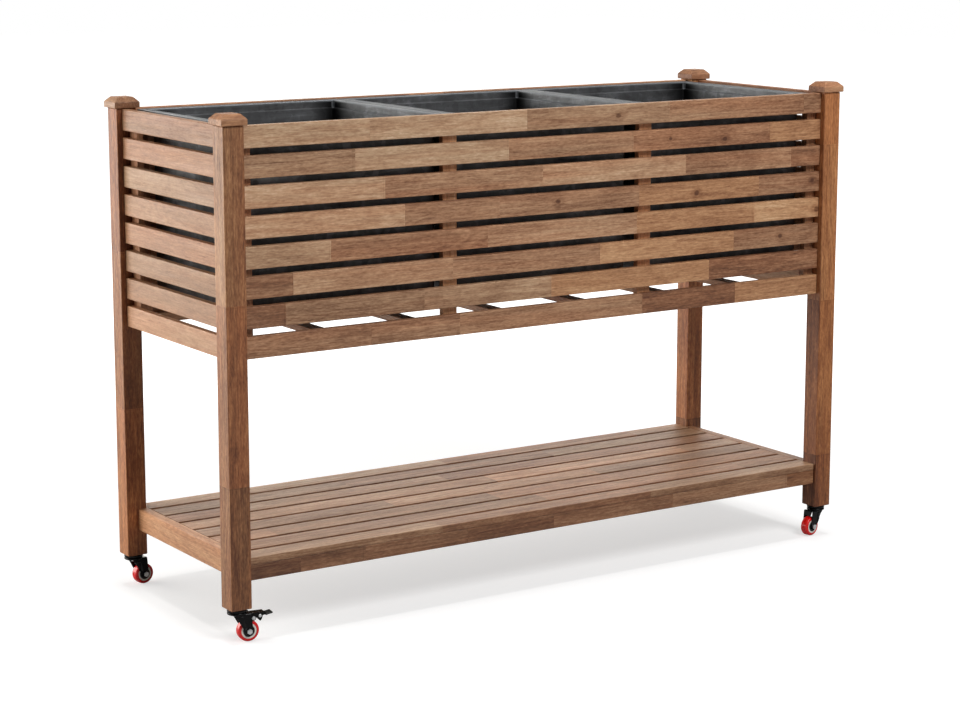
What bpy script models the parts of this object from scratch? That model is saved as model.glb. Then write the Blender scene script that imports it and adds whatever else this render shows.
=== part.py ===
"""A wooden planter on castors, with three lift-out metal trays over a slatted shelf.

Metres, +Z up. X runs along the length, Y runs from front to back, and the floor is at Z = 0.
The origin is on the floor, under the middle of the planter.
"""
import math

import bmesh
import bpy
from mathutils import Matrix

# Running and seating clearance between neighbouring pieces
CLEARANCE = 0.0003

# Posts and their caps
LENGTH = 1.200
DEPTH = 0.4064
POST = 0.035
POST_HEIGHT = 0.740
POST_EDGE = 0.0015
CAP_OVERHANG = 0.0042
CAP_SIDE = 0.0095
CAP_CHAMFER = 0.0080
CAP_EDGE = 0.0008

# Cladding boards, the same on all four sides
BOARD_COUNT = 8
BOARD_HEIGHT = 0.0343
BOARD_GAP = 0.0112
BOARD_THICK = 0.012
BOARD_RECESS = 0.009
BOARD_DROP = 0.001
BOARD_EDGE = 0.0012

# Battens that the boards are fixed to from inside, and how far joined pieces run into each other
BATTEN_THICK = 0.0115
BATTEN_WIDTH = 0.026
END_BATTEN_WIDTH = 0.0195
BATTEN_SHIFT = 0.0052
BATTEN_INSET = 0.001
LET_IN = 0.001
LAP = 0.002

# Trays, which hang by their rims on the battens
TRAY_COUNT = 3
TRAY_GAP = 0.0006
TRAY_SHEET = 0.001
TRAY_CAP_CLEARANCE = 0.0003
TRAY_SIDE_CLEARANCE = 0.0009
RIM_DROP = 0.0025
FLANGE = 0.016
LIP = 0.004
COLLAR = 0.013
COLLAR_STEP = 0.005
STEP_FALL = 0.0015
TRAY_TO_BARS = 0.020

# Bars from front to back under the trays, on a ledger along each long side
BAR_COUNT = 6
BAR_PITCH = 0.1469 * (LENGTH - 2 * POST)
BAR_WIDTH = 0.0235
BAR_THICK = 0.0105
LEDGER_DEPTH = 0.015
LEDGER_RISE = 0.0168

# Lower shelf
SHELF_HEIGHT = 0.079
SHELF_RECESS = 0.005
SHELF_END_RECESS = 0.020
SLAT_THICK = 0.011
SLAT_COUNT = 6
SLAT_WIDTH = 0.0451
SLAT_GAP = 0.007
SLAT_EDGE = 0.0012
RAIL_HEIGHT = 0.0247
RAIL_THICK = 0.018
END_RAIL_THICK = 0.0175
BEARER_WIDTH = 0.022
BEARER_HEIGHT = 0.018

# Castor wheels
WHEEL_RADIUS = 0.017
WHEEL_WIDTH = 0.015
TYRE_THICK = 0.0045
TYRE_SHOULDER = 0.0035
CORE_INSET = 0.0002
HUB_RADIUS = 0.0092
HUB_PROUD = 0.0004
HUB_GROOVE = 0.0012
AXLE_RADIUS = 0.0025
AXLE_HEAD_RADIUS = 0.0046
AXLE_HEAD = 0.0024

# Castor forks, races and stems
TRAIL = 0.0165
WHEEL_SIDE_CLEARANCE = 0.001
FORK_SHEET = 0.0018
FORK_FRONT = 0.0095
FORK_BACK = 0.0033
FORK_SHOULDER = 0.0085
FORK_TOE = 0.006
BRIDGE_CLEARANCE = 0.0097
BRIDGE_THICK = 0.0023
RACE_RADIUS = 0.0155
RACE_HEIGHT = 0.0047
RACE_ROUND = 0.0016
KINGPIN_RADIUS = 0.003
RIVET_RADIUS = 0.0048
RIVET_HEIGHT = 0.0028
STEM_RADIUS = 0.005
STEM_LENGTH = 0.024

# Brake levers: places are measured from the wheel's axle, forwards and up
PIVOT_AHEAD = 0.0068
PIVOT_UP = 0.0207
PIN_RADIUS = 0.0015
PIN_HEAD_RADIUS = 0.003
PIN_HEAD = 0.0013
EAR_RADIUS = 0.0042
LEVER_WIDTH = 0.0146
LEVER_THICK = 0.0030
LEVER_REACH = 0.0190
LEVER_RISE = 0.0070
LINK_AHEAD = 0.0115
LINK_UP = 0.0016
LINK_RADIUS = 0.0026
LINK_PROUD = 0.0012
SHOE_DROP = 0.0068
PEDAL_LENGTH = 0.0115
PEDAL_WIDTH = 0.016
PEDAL_THICK = 0.0024
PEDAL_STEP = 0.0035
PEDAL_DROP = 0.0032
PEDAL_TILT = math.radians(10)

# Sides of the round pieces
TYRE_STEPS = 28
WHEEL_STEPS = 20
RACE_STEPS = 20
PIN_STEPS = 12

# Which way each castor trails, in degrees about +Z, and whether it has a brake
CASTORS = {
    "front_left": {"side": (-1, -1), "heading": -9, "brake": True},
    "front_right": {"side": (1, -1), "heading": 191, "brake": False},
    "back_left": {"side": (-1, 1), "heading": 6, "brake": False},
    "back_right": {"side": (1, 1), "heading": 172, "brake": True},
}

# Finishes: colour, roughness, metallic
POST_WOOD = ((0.30, 0.15, 0.075), 0.50, 0.0)
CAP_WOOD = ((0.36, 0.19, 0.09), 0.50, 0.0)
FRONT_WOOD = ((0.28, 0.155, 0.085), 0.50, 0.0)
SIDE_WOOD = ((0.45, 0.27, 0.17), 0.50, 0.0)
INNER_WOOD = ((0.33, 0.19, 0.10), 0.60, 0.0)
SHELF_WOOD = ((0.33, 0.20, 0.12), 0.50, 0.0)
ZINC = ((0.10, 0.11, 0.12), 0.45, 0.8)
BLACK_STEEL = ((0.012, 0.012, 0.014), 0.35, 0.6)
BRIGHT_STEEL = ((0.55, 0.56, 0.58), 0.25, 1.0)
RED_TYRE = ((0.62, 0.015, 0.018), 0.40, 0.0)
CREAM_PLASTIC = ((0.60, 0.55, 0.45), 0.45, 0.0)

# Heights that the pieces share
BRIDGE_UNDERSIDE = 2 * WHEEL_RADIUS + BRIDGE_CLEARANCE
LOWER_RACE_TOP = BRIDGE_UNDERSIDE + RACE_HEIGHT
UPPER_RACE_FOOT = LOWER_RACE_TOP + CLEARANCE
UPPER_RACE_TOP = UPPER_RACE_FOOT + RACE_HEIGHT
POST_FOOT = UPPER_RACE_TOP + CLEARANCE
POST_TOP = POST_FOOT + POST_HEIGHT
BOARD_PITCH = BOARD_HEIGHT + BOARD_GAP
BOARDS_TOP = POST_TOP - BOARD_DROP
BOARDS_FOOT = BOARDS_TOP - (BOARD_COUNT - 1) * BOARD_PITCH - BOARD_HEIGHT
LEDGER_FOOT = BOARDS_FOOT + BATTEN_INSET
LEDGER_TOP = BOARDS_FOOT + LEDGER_RISE
BAR_FOOT = LEDGER_TOP + CLEARANCE
BAR_TOP = BAR_FOOT + BAR_THICK
RIM_TOP = BOARDS_TOP - RIM_DROP
LIP_FOOT = RIM_TOP - LIP
BATTEN_TOP = LIP_FOOT - CLEARANCE
BATTEN_FOOT = LEDGER_TOP - LAP
TRAY_FOOT = BAR_TOP + TRAY_TO_BARS
SHELF_TOP = POST_FOOT + SHELF_HEIGHT
SLAT_FOOT = SHELF_TOP - SLAT_THICK
RAIL_TOP = SLAT_FOOT - CLEARANCE
RAIL_FOOT = RAIL_TOP - RAIL_HEIGHT

# Faces that the pieces share, as distances from the middle
HALF_LENGTH = LENGTH / 2
HALF_DEPTH = DEPTH / 2
BAY_X = HALF_LENGTH - POST
BAY_Y = HALF_DEPTH - POST
BOARD_OUTER_X = HALF_LENGTH - BOARD_RECESS
BOARD_INNER_X = BOARD_OUTER_X - BOARD_THICK
BOARD_OUTER_Y = HALF_DEPTH - BOARD_RECESS
BOARD_INNER_Y = BOARD_OUTER_Y - BOARD_THICK
TRAYS_OUTER_X = BAY_X - CAP_OVERHANG - TRAY_CAP_CLEARANCE
TRAY_PITCH = (2 * TRAYS_OUTER_X + TRAY_GAP) / TRAY_COUNT
TRAY_HALF_X = (TRAY_PITCH - TRAY_GAP) / 2
TRAY_HALF_Y = BOARD_INNER_Y - TRAY_SIDE_CLEARANCE
END_RAIL_OUTER = HALF_LENGTH - SHELF_END_RECESS
END_RAIL_INNER = END_RAIL_OUTER - END_RAIL_THICK
SHELF_OUTER_Y = HALF_DEPTH - SHELF_RECESS
RAIL_INNER_Y = SHELF_OUTER_Y - RAIL_THICK
INNER_SLATS_Y = (SLAT_COUNT * SLAT_WIDTH + (SLAT_COUNT - 1) * SLAT_GAP) / 2
FORK_INNER = WHEEL_WIDTH / 2 + WHEEL_SIDE_CLEARANCE
FORK_OUTER = FORK_INNER + FORK_SHEET
CORE_RADIUS = WHEEL_RADIUS - TYRE_THICK - CLEARANCE
AXLE_BORE = AXLE_RADIUS + CLEARANCE


def clear_scene():
    for obj in list(bpy.data.objects):
        bpy.data.objects.remove(obj, do_unlink=True)


def new_collection(name):
    collection = bpy.data.collections.new(name)
    bpy.context.scene.collection.children.link(collection)
    return collection


def add_finish(obj, finish):
    """Give an object its own material: a colour, a roughness and a metallic value."""
    colour, roughness, metallic = finish
    material = bpy.data.materials.new(obj.name + "_finish")
    material.use_nodes = True
    shader = material.node_tree.nodes["Principled BSDF"]
    shader.inputs["Base Color"].default_value = (*colour, 1.0)
    shader.inputs["Roughness"].default_value = roughness
    shader.inputs["Metallic"].default_value = metallic
    obj.data.materials.clear()
    obj.data.materials.append(material)


def new_part(name, mesh, finish, location=(0, 0, 0), parent=None):
    obj = bpy.data.objects.new(name, mesh)
    parts.objects.link(obj)
    obj.location = location
    obj.parent = parent
    add_finish(obj, finish)
    return obj


def new_cutter(name, mesh, location=(0, 0, 0)):
    """Make a tool shape for a Boolean, which isn't part of the planter."""
    obj = bpy.data.objects.new(name, mesh)
    cutters.objects.link(obj)
    obj.location = location
    obj.hide_render = True
    obj.display_type = "WIRE"
    return obj


def boolean(obj, operation, tool):
    modifier = obj.modifiers.new(operation.lower(), "BOOLEAN")
    modifier.operation = operation
    modifier.object = tool


def evaluated_mesh(obj):
    """Return a new mesh with an object's modifiers applied."""
    bpy.context.view_layer.update()
    return bpy.data.meshes.new_from_object(obj.evaluated_get(bpy.context.evaluated_depsgraph_get()))


def box_mesh(name, boxes, centre=(0, 0, 0)):
    """Make a mesh of separate boxes, each given by its low and high corner, measured from centre."""
    bm = bmesh.new()
    for low, high in boxes:
        middle = [(a + b) / 2 - c for a, b, c in zip(low, high, centre)]
        size = [b - a for a, b in zip(low, high)]
        place = Matrix.Translation(middle) @ Matrix.Diagonal((*size, 1))
        bmesh.ops.create_cube(bm, size=1, matrix=place)
    mesh = bpy.data.meshes.new(name)
    bm.to_mesh(mesh)
    bm.free()
    return mesh


def span(boxes):
    """Return the low and the high corner of the space that boxes take up together."""
    lows = [min(values) for values in zip(*(low for low, high in boxes))]
    highs = [max(values) for values in zip(*(high for low, high in boxes))]
    return lows, highs


def add_boxes(name, boxes, finish, edge=0.0, joined=()):
    """Add a part made of boxes, with its origin in their middle.

    The pieces in joined are lists of boxes that are glued on, which run into the first ones.
    """
    lows, highs = span(boxes)
    centre = [(a + b) / 2 for a, b in zip(lows, highs)]
    obj = new_part(name, box_mesh(name, boxes, centre), finish, centre)
    if edge:
        bevel = obj.modifiers.new("eased_edges", "BEVEL")
        bevel.width = edge
        bevel.segments = 1
    for number, pieces in enumerate(joined, start=1):
        tool = f"{name}_joined_{number}"
        boolean(obj, "UNION", new_cutter(tool, box_mesh(tool, pieces, centre), centre))
    return obj


def mirrored_y(box):
    """Return a box's twin on the other side of the planter's long middle plane."""
    (x0, y0, z0), (x1, y1, z1) = box
    return (x0, -y1, z0), (x1, -y0, z1)


def mirrored_x(box):
    """Return a box's twin on the other side of the planter's short middle plane."""
    (x0, y0, z0), (x1, y1, z1) = box
    return (-x1, y0, z0), (-x0, y1, z1)


def smooth(mesh):
    mesh.shade_smooth()
    mesh.set_sharp_from_angle(angle=math.radians(35))


def turned_mesh(name, loops, steps, closed=True):
    """Turn outlines of (radius, height) about Z. Each runs down its outer side, top to bottom."""
    points = []
    edges = []
    for loop in loops:
        start = len(points)
        points += [(radius, 0, height) for radius, height in loop]
        edges += [(start + i, start + i + 1) for i in range(len(loop) - 1)]
        if closed:
            edges.append((len(points) - 1, start))
    outline = bpy.data.meshes.new(name + "_outline")
    outline.from_pydata(points, edges, [])
    guide = bpy.data.objects.new(name + "_outline", outline)
    cutters.objects.link(guide)
    screw = guide.modifiers.new("turn", "SCREW")
    screw.axis = "Z"
    screw.angle = math.tau
    screw.steps = steps
    screw.render_steps = steps
    screw.use_merge_vertices = True
    screw.merge_threshold = 0.00001
    mesh = evaluated_mesh(guide)
    mesh.name = name
    bpy.data.objects.remove(guide, do_unlink=True)
    smooth(mesh)
    return mesh


def cylinder_mesh(name, radius, low, high, steps, along_y=False):
    """Make a cylinder about Z from low to high, or about Y."""
    bm = bmesh.new()
    place = Matrix.Translation((0, 0, (low + high) / 2))
    if along_y:
        place = Matrix.Rotation(math.pi / 2, 4, "X") @ place
    bmesh.ops.create_cone(bm, cap_ends=True, segments=steps, radius1=radius, radius2=radius,
                          depth=high - low, matrix=place)
    mesh = bpy.data.meshes.new(name)
    bm.to_mesh(mesh)
    bm.free()
    return mesh


def arc(centre, radius, start, end, steps):
    """Return points (x, z) along an arc, with its angles in degrees."""
    angles = [math.radians(start + (end - start) * i / steps) for i in range(steps + 1)]
    return [(centre[0] + radius * math.cos(a), centre[1] + radius * math.sin(a)) for a in angles]


def side_plate_mesh(name, outline, width):
    """Make a plate of the outline (x, z), as wide as width across Y and centred on it."""
    curve = bpy.data.curves.new(name, "CURVE")
    curve.dimensions = "2D"
    curve.fill_mode = "BOTH"
    curve.extrude = width / 2
    spline = curve.splines.new("POLY")
    spline.points.add(len(outline) - 1)
    for point, (x, z) in zip(spline.points, outline):
        point.co = (x, z, 0, 1)
    spline.use_cyclic_u = True
    guide = bpy.data.objects.new(name + "_guide", curve)
    cutters.objects.link(guide)
    mesh = evaluated_mesh(guide)
    mesh.name = name
    bpy.data.objects.remove(guide, do_unlink=True)
    bm = bmesh.new()
    bm.from_mesh(mesh)
    bmesh.ops.remove_doubles(bm, verts=bm.verts, dist=0.000001)
    bmesh.ops.transform(bm, matrix=Matrix.Rotation(math.pi / 2, 4, "X"), verts=bm.verts)
    bm.to_mesh(mesh)
    bm.free()
    return mesh


def combined_mesh(name, base, tools):
    """Cut or join a base mesh with tools, given as (operation, mesh), in their own places."""
    blank = bpy.data.objects.new(name + "_blank", base)
    cutters.objects.link(blank)
    helpers = [blank]
    for number, (operation, mesh) in enumerate(tools):
        helpers.append(new_cutter(f"{name}_tool_{number}", mesh))
        boolean(blank, operation, helpers[-1])
    result = evaluated_mesh(blank)
    result.name = name
    for helper in helpers:
        bpy.data.objects.remove(helper, do_unlink=True)
    smooth(result)
    return result


def post_centre(side):
    return side[0] * (HALF_LENGTH - POST / 2), side[1] * (HALF_DEPTH - POST / 2)


def add_post(corner, side):
    """Add a corner post, bored from below for its castor's stem."""
    x, y = post_centre(side)
    half = POST / 2
    box = ((x - half, y - half, POST_FOOT), (x + half, y + half, POST_TOP))
    post = add_boxes("post_" + corner, [box], POST_WOOD, POST_EDGE)
    depth = POST_FOOT + STEM_LENGTH + CLEARANCE
    bore = cylinder_mesh("post_bore", STEM_RADIUS + CLEARANCE, POST_FOOT - POST, depth, PIN_STEPS)
    boolean(post, "DIFFERENCE", new_cutter("bore_" + corner, bore, (x, y, 0)))


def cap_mesh():
    """Make a cap: a square block whose top is drawn in by a chamfer on all sides."""
    half = POST / 2 + CAP_OVERHANG
    bm = bmesh.new()
    place = Matrix.Translation((0, 0, CAP_SIDE / 2)) @ Matrix.Diagonal((2 * half, 2 * half, CAP_SIDE, 1))
    bmesh.ops.create_cube(bm, size=1, matrix=place)
    top = [face for face in bm.faces if face.normal.z > 0.5]
    raised = bmesh.ops.extrude_face_region(bm, geom=top)["geom"]
    bmesh.ops.delete(bm, geom=top, context="FACES_ONLY")
    corners = [item for item in raised if isinstance(item, bmesh.types.BMVert)]
    bmesh.ops.translate(bm, vec=(0, 0, CAP_CHAMFER), verts=corners)
    drawn_in = (half - CAP_CHAMFER) / half
    bmesh.ops.scale(bm, vec=(drawn_in, drawn_in, 1), verts=corners)
    mesh = bpy.data.meshes.new("cap")
    bm.to_mesh(mesh)
    bm.free()
    return mesh


def add_cap(corner, side):
    x, y = post_centre(side)
    cap = new_part("cap_" + corner, cap_mesh(), CAP_WOOD, (x, y, POST_TOP + CLEARANCE))
    bevel = cap.modifiers.new("eased_edges", "BEVEL")
    bevel.width = CAP_EDGE
    bevel.segments = 1


def board_levels():
    """Return the underside and top of each board, from the top one down."""
    tops = [BOARDS_TOP - i * BOARD_PITCH for i in range(BOARD_COUNT)]
    return [(top - BOARD_HEIGHT, top) for top in tops]


def front_boards():
    """Return the front boards, which butt between the posts."""
    reach = BAY_X - CLEARANCE
    return [((-reach, -BOARD_OUTER_Y, low), (reach, -BOARD_INNER_Y, high)) for low, high in board_levels()]


def front_frame(outer):
    """Return the front's ledger and its battens, with their outer faces at the distance outer."""
    reach = BAY_X - CLEARANCE - BATTEN_INSET
    ledger = ((-reach, -outer, LEDGER_FOOT), (reach, LEDGER_DEPTH - outer, LEDGER_TOP))
    middle = TRAY_PITCH / 2 + BATTEN_SHIFT
    half = BATTEN_WIDTH / 2
    inner = BOARD_INNER_Y - CLEARANCE - BATTEN_THICK
    spans = [(reach - END_BATTEN_WIDTH, reach), (middle - half, middle + half)]
    right = [((low, -outer, BATTEN_FOOT), (high, -inner, BATTEN_TOP)) for low, high in spans]
    return [ledger], right + [mirrored_x(batten) for batten in right]


def add_front():
    """Add the front boards, and inside them the frame that carries the trays and their bars."""
    for number, board in enumerate(front_boards(), start=1):
        add_boxes(f"front_board_{number}", [board], FRONT_WOOD, BOARD_EDGE)
    ledger, battens = front_frame(BOARD_INNER_Y - CLEARANCE)
    add_boxes("front_frame", ledger, INNER_WOOD, joined=[battens])


def add_back():
    """Add the back, a panel whose boards, battens and ledger are glued together."""
    boards = [mirrored_y(board) for board in front_boards()]
    ledger, battens = front_frame(BOARD_INNER_Y + LET_IN)
    joined = [[mirrored_y(box) for box in battens], [mirrored_y(box) for box in ledger]]
    add_boxes("back_panel", boards, FRONT_WOOD, BOARD_EDGE, joined)


def add_sides():
    """Add the two ends, each a panel of boards glued to two upright battens."""
    reach = BAY_Y - CLEARANCE
    boards = [((BOARD_INNER_X, -reach, low), (BOARD_OUTER_X, reach, high)) for low, high in board_levels()]
    edge = reach - BATTEN_INSET
    low = (BOARD_INNER_X - CLEARANCE - BATTEN_THICK, edge - BATTEN_WIDTH, BOARDS_FOOT + BATTEN_INSET)
    batten = (low, (BOARD_INNER_X + LET_IN, edge, BATTEN_TOP))
    battens = [batten, mirrored_y(batten)]
    add_boxes("right_panel", boards, SIDE_WOOD, BOARD_EDGE, [battens])
    boards = [mirrored_x(box) for box in boards]
    battens = [mirrored_x(box) for box in battens]
    add_boxes("left_panel", boards, SIDE_WOOD, BOARD_EDGE, [battens])


def add_tray_bars():
    """Add the bars that tie the long sides together under the trays."""
    reach = BOARD_INNER_Y - CLEARANCE
    half = BAR_WIDTH / 2
    for number in range(BAR_COUNT):
        x = (number - (BAR_COUNT - 1) / 2) * BAR_PITCH
        bar = ((x - half, -reach, BAR_FOOT), (x + half, reach, BAR_TOP))
        add_boxes(f"tray_bar_{number + 1}", [bar], INNER_WOOD)


def tray_rings():
    """Return the sheet's underside as half sizes and heights, from the floor to the lip."""
    lip_x = TRAY_HALF_X - TRAY_SHEET
    lip_y = TRAY_HALF_Y - TRAY_SHEET
    collar_x = TRAY_HALF_X - FLANGE
    collar_y = TRAY_HALF_Y - FLANGE
    body_x = collar_x - COLLAR_STEP
    body_y = collar_y - COLLAR_STEP
    flange = RIM_TOP - TRAY_SHEET
    return [(body_x, body_y, TRAY_FOOT),
            (body_x, body_y, RIM_TOP - COLLAR - STEP_FALL),
            (collar_x, collar_y, RIM_TOP - COLLAR),
            (collar_x, collar_y, flange),
            (lip_x, lip_y, flange),
            (lip_x, lip_y, LIP_FOOT)]


def tray_mesh():
    """Make a tray's sheet as an open surface, by drawing its floor's edge from ring to ring."""
    rings = tray_rings()
    bm = bmesh.new()
    bmesh.ops.create_grid(bm, x_segments=1, y_segments=1, size=1)
    bmesh.ops.scale(bm, vec=(rings[0][0], rings[0][1], 1), verts=bm.verts)
    rim = list(bm.edges)
    corners = list(bm.verts)
    for (from_x, from_y, from_z), (to_x, to_y, to_z) in zip(rings, rings[1:]):
        drawn = bmesh.ops.extrude_edge_only(bm, edges=rim)["geom"]
        corners = [item for item in drawn if isinstance(item, bmesh.types.BMVert)]
        rim = [item for item in drawn if isinstance(item, bmesh.types.BMEdge)]
        bmesh.ops.scale(bm, vec=(to_x / from_x, to_y / from_y, 1), verts=corners)
        bmesh.ops.translate(bm, vec=(0, 0, to_z - from_z), verts=corners)
    bmesh.ops.recalc_face_normals(bm, faces=bm.faces)
    floor = min(bm.faces, key=lambda face: face.calc_center_median().z)
    if floor.normal.z > 0:
        bmesh.ops.reverse_faces(bm, faces=bm.faces)
    mesh = bpy.data.meshes.new("tray")
    bm.to_mesh(mesh)
    bm.free()
    return mesh


def add_trays():
    """Add the trays side by side, each with its origin on its floor."""
    for place, name in enumerate(("left", "middle", "right")):
        x = (place - (TRAY_COUNT - 1) / 2) * TRAY_PITCH
        tray = new_part("tray_" + name, tray_mesh(), ZINC, (x, 0, TRAY_FOOT))
        sheet = tray.modifiers.new("sheet", "SOLIDIFY")
        sheet.thickness = TRAY_SHEET
        sheet.offset = -1
        sheet.use_even_offset = True


def add_shelf_frame():
    """Add the frame under the shelf: long rails, end rails, and the bearers that join them."""
    reach_x = BAY_X - CLEARANCE
    rail = ((-reach_x, -SHELF_OUTER_Y, RAIL_FOOT), (reach_x, -RAIL_INNER_Y, RAIL_TOP))
    reach_y = BAY_Y - CLEARANCE
    end_rail = ((END_RAIL_INNER, -reach_y, RAIL_FOOT), (END_RAIL_OUTER, reach_y, SHELF_TOP))
    rails = [rail, mirrored_y(rail), end_rail, mirrored_x(end_rail)]
    half = BEARER_WIDTH / 2
    last = END_RAIL_INNER + LAP - half
    reach = RAIL_INNER_Y + LAP
    bearers = [((x - half, -reach, RAIL_TOP - BEARER_HEIGHT), (x + half, reach, RAIL_TOP))
               for x in (-last, -last / 2, 0, last / 2, last)]
    add_boxes("shelf_frame", rails, SHELF_WOOD, SLAT_EDGE, [bearers])


def add_shelf_slats():
    """Add the slats. The edge slats reach the posts, and are notched round the end rails."""
    reach = END_RAIL_INNER - CLEARANCE
    pitch = SLAT_WIDTH + SLAT_GAP
    lows = [-INNER_SLATS_Y + i * pitch for i in range(SLAT_COUNT)]
    for number, y in enumerate(lows, start=2):
        slat = ((-reach, y, SLAT_FOOT), (reach, y + SLAT_WIDTH, SHELF_TOP))
        add_boxes(f"shelf_slat_{number}", [slat], SHELF_WOOD, SLAT_EDGE)
    notch = ((reach, -BAY_Y, RAIL_TOP - SLAT_THICK), (HALF_LENGTH, BAY_Y, SHELF_TOP + SLAT_THICK))
    notches = new_cutter("slat_notches", box_mesh("slat_notches", [notch, mirrored_x(notch)]))
    reach = BAY_X - CLEARANCE
    front = ((-reach, -SHELF_OUTER_Y, SLAT_FOOT), (reach, -INNER_SLATS_Y - SLAT_GAP, SHELF_TOP))
    for number, box in ((1, front), (SLAT_COUNT + 2, mirrored_y(front))):
        edge_slat = add_boxes(f"shelf_slat_{number}", [box], SHELF_WOOD, SLAT_EDGE)
        boolean(edge_slat, "DIFFERENCE", notches)


def rounded_disc(inner, radius, low, high, rounding):
    """Return the outline of a ring with a rounded rim, from its inner radius outwards and down."""
    centre = radius - rounding
    top = arc((centre, high - rounding), rounding, 90, 0, 2)
    bottom = arc((centre, low + rounding), rounding, 0, -90, 2)
    return [(inner, high)] + top + bottom + [(inner, low)]


def fork_outline(brake):
    """Return the side of a fork leg, from its front top corner, round the toe and up its back."""
    axle = (TRAIL, WHEEL_RADIUS)
    top = BRIDGE_UNDERSIDE + BRIDGE_THICK
    front = [(-FORK_FRONT, top), (-FORK_FRONT, top - FORK_SHOULDER)]
    toe = arc(axle, FORK_TOE, 205, 350, 5)
    back = TRAIL + FORK_BACK
    if not brake:
        return front + toe + [(back, top)]
    pivot = (TRAIL + PIVOT_AHEAD, WHEEL_RADIUS + PIVOT_UP)
    ear = arc(pivot, EAR_RADIUS, -120, 80, 5)
    return front + toe + ear + [(back, BRIDGE_UNDERSIDE - CLEARANCE), (back, top)]


def fork_mesh(brake):
    """Make a fork with its lower race: a side outline, slotted for the wheel and bored."""
    base = side_plate_mesh("fork_base", fork_outline(brake), 2 * FORK_OUTER)
    length = RACE_RADIUS + TRAIL + WHEEL_RADIUS
    slot = box_mesh("slot", [((-length, -FORK_INNER, -WHEEL_RADIUS), (length, FORK_INNER, BRIDGE_UNDERSIDE))])
    seat = BRIDGE_UNDERSIDE + BRIDGE_THICK / 5
    outline = rounded_disc(0, RACE_RADIUS, seat, LOWER_RACE_TOP, RACE_ROUND)
    race = turned_mesh("lower_race", [outline], RACE_STEPS, closed=False)
    bore = cylinder_mesh("kingpin_bore", KINGPIN_RADIUS + CLEARANCE, WHEEL_RADIUS, POST_TOP, PIN_STEPS)
    axle = cylinder_mesh("axle_bore", AXLE_BORE, -length, length, PIN_STEPS, along_y=True)
    axle.transform(Matrix.Translation((TRAIL, 0, WHEEL_RADIUS)))
    tools = [("DIFFERENCE", slot), ("UNION", race), ("DIFFERENCE", bore), ("DIFFERENCE", axle)]
    if brake:
        pin = cylinder_mesh("pin_bore", PIN_RADIUS + CLEARANCE, -length, length, PIN_STEPS, along_y=True)
        pin.transform(Matrix.Translation((TRAIL + PIVOT_AHEAD, 0, WHEEL_RADIUS + PIVOT_UP)))
        tools.append(("DIFFERENCE", pin))
    return combined_mesh("brake_fork" if brake else "fork", base, tools)


def axle_mesh():
    """Make an axle bolt along Y, with a six-sided head and nut outside the fork."""
    seat = FORK_OUTER + CLEARANCE
    end = seat + AXLE_HEAD
    middle = end - AXLE_HEAD / 4
    shank = cylinder_mesh("axle", AXLE_RADIUS, -middle, middle, PIN_STEPS, along_y=True)
    head = cylinder_mesh("axle_head", AXLE_HEAD_RADIUS, seat, end, 6, along_y=True)
    nut = cylinder_mesh("axle_nut", AXLE_HEAD_RADIUS, -end, -seat, 6, along_y=True)
    return combined_mesh("axle", shank, [("UNION", head), ("UNION", nut)])


def tyre_loop():
    half = WHEEL_WIDTH / 2
    bore = WHEEL_RADIUS - TYRE_THICK
    return rounded_disc(bore, WHEEL_RADIUS, -half, half, TYRE_SHOULDER)


def wheel_loop():
    """Return a wheel's outline: the ring that carries the tyre, and the hub, proud of a groove."""
    half = WHEEL_WIDTH / 2 - CORE_INSET
    face = WHEEL_WIDTH / 2 + HUB_PROUD
    floor = half - HUB_GROOVE
    foot = HUB_RADIUS + HUB_PROUD
    right = [(AXLE_BORE, face), (HUB_RADIUS - HUB_PROUD, face), (HUB_RADIUS, face - HUB_PROUD),
             (HUB_RADIUS, floor), (foot, floor), (foot, half), (CORE_RADIUS, half)]
    return right + [(radius, -height) for radius, height in reversed(right)]


def pin_mesh():
    """Make a brake's pivot pin along Y, riveted over outside the fork."""
    seat = FORK_OUTER + CLEARANCE
    end = seat + PIN_HEAD
    middle = end - PIN_HEAD / 2
    pin = cylinder_mesh("pin", PIN_RADIUS, -middle, middle, PIN_STEPS, along_y=True)
    near = cylinder_mesh("pin_near_head", PIN_HEAD_RADIUS, seat, end, PIN_STEPS, along_y=True)
    far = cylinder_mesh("pin_far_head", PIN_HEAD_RADIUS, -end, -seat, PIN_STEPS, along_y=True)
    return combined_mesh("pin", pin, [("UNION", near), ("UNION", far)])


def lever_outline():
    """Return the side of a brake lever about its pivot: boss, shoe, link and arm."""
    boss = arc((0, 0), PIN_HEAD_RADIUS, 180, 315, 4)
    shoe_side = LINK_RADIUS
    shoe_end = -SHOE_DROP + shoe_side
    return [(-PIN_HEAD_RADIUS, LEVER_RISE)] + boss + [
        (LINK_AHEAD - 2 * LINK_RADIUS, 0), (LINK_AHEAD - shoe_side, shoe_end), (LINK_AHEAD, -SHOE_DROP),
        (LINK_AHEAD + shoe_side, shoe_end), (LINK_AHEAD + LINK_RADIUS * 1.7, LINK_UP),
        (LEVER_REACH, LEVER_RISE - LEVER_THICK - PEDAL_DROP / 2),
        (LEVER_REACH + PEDAL_STEP, LEVER_RISE - LEVER_THICK - PEDAL_DROP),
        (LEVER_REACH + PEDAL_STEP, LEVER_RISE - PEDAL_DROP), (LEVER_REACH, LEVER_RISE)]


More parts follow.
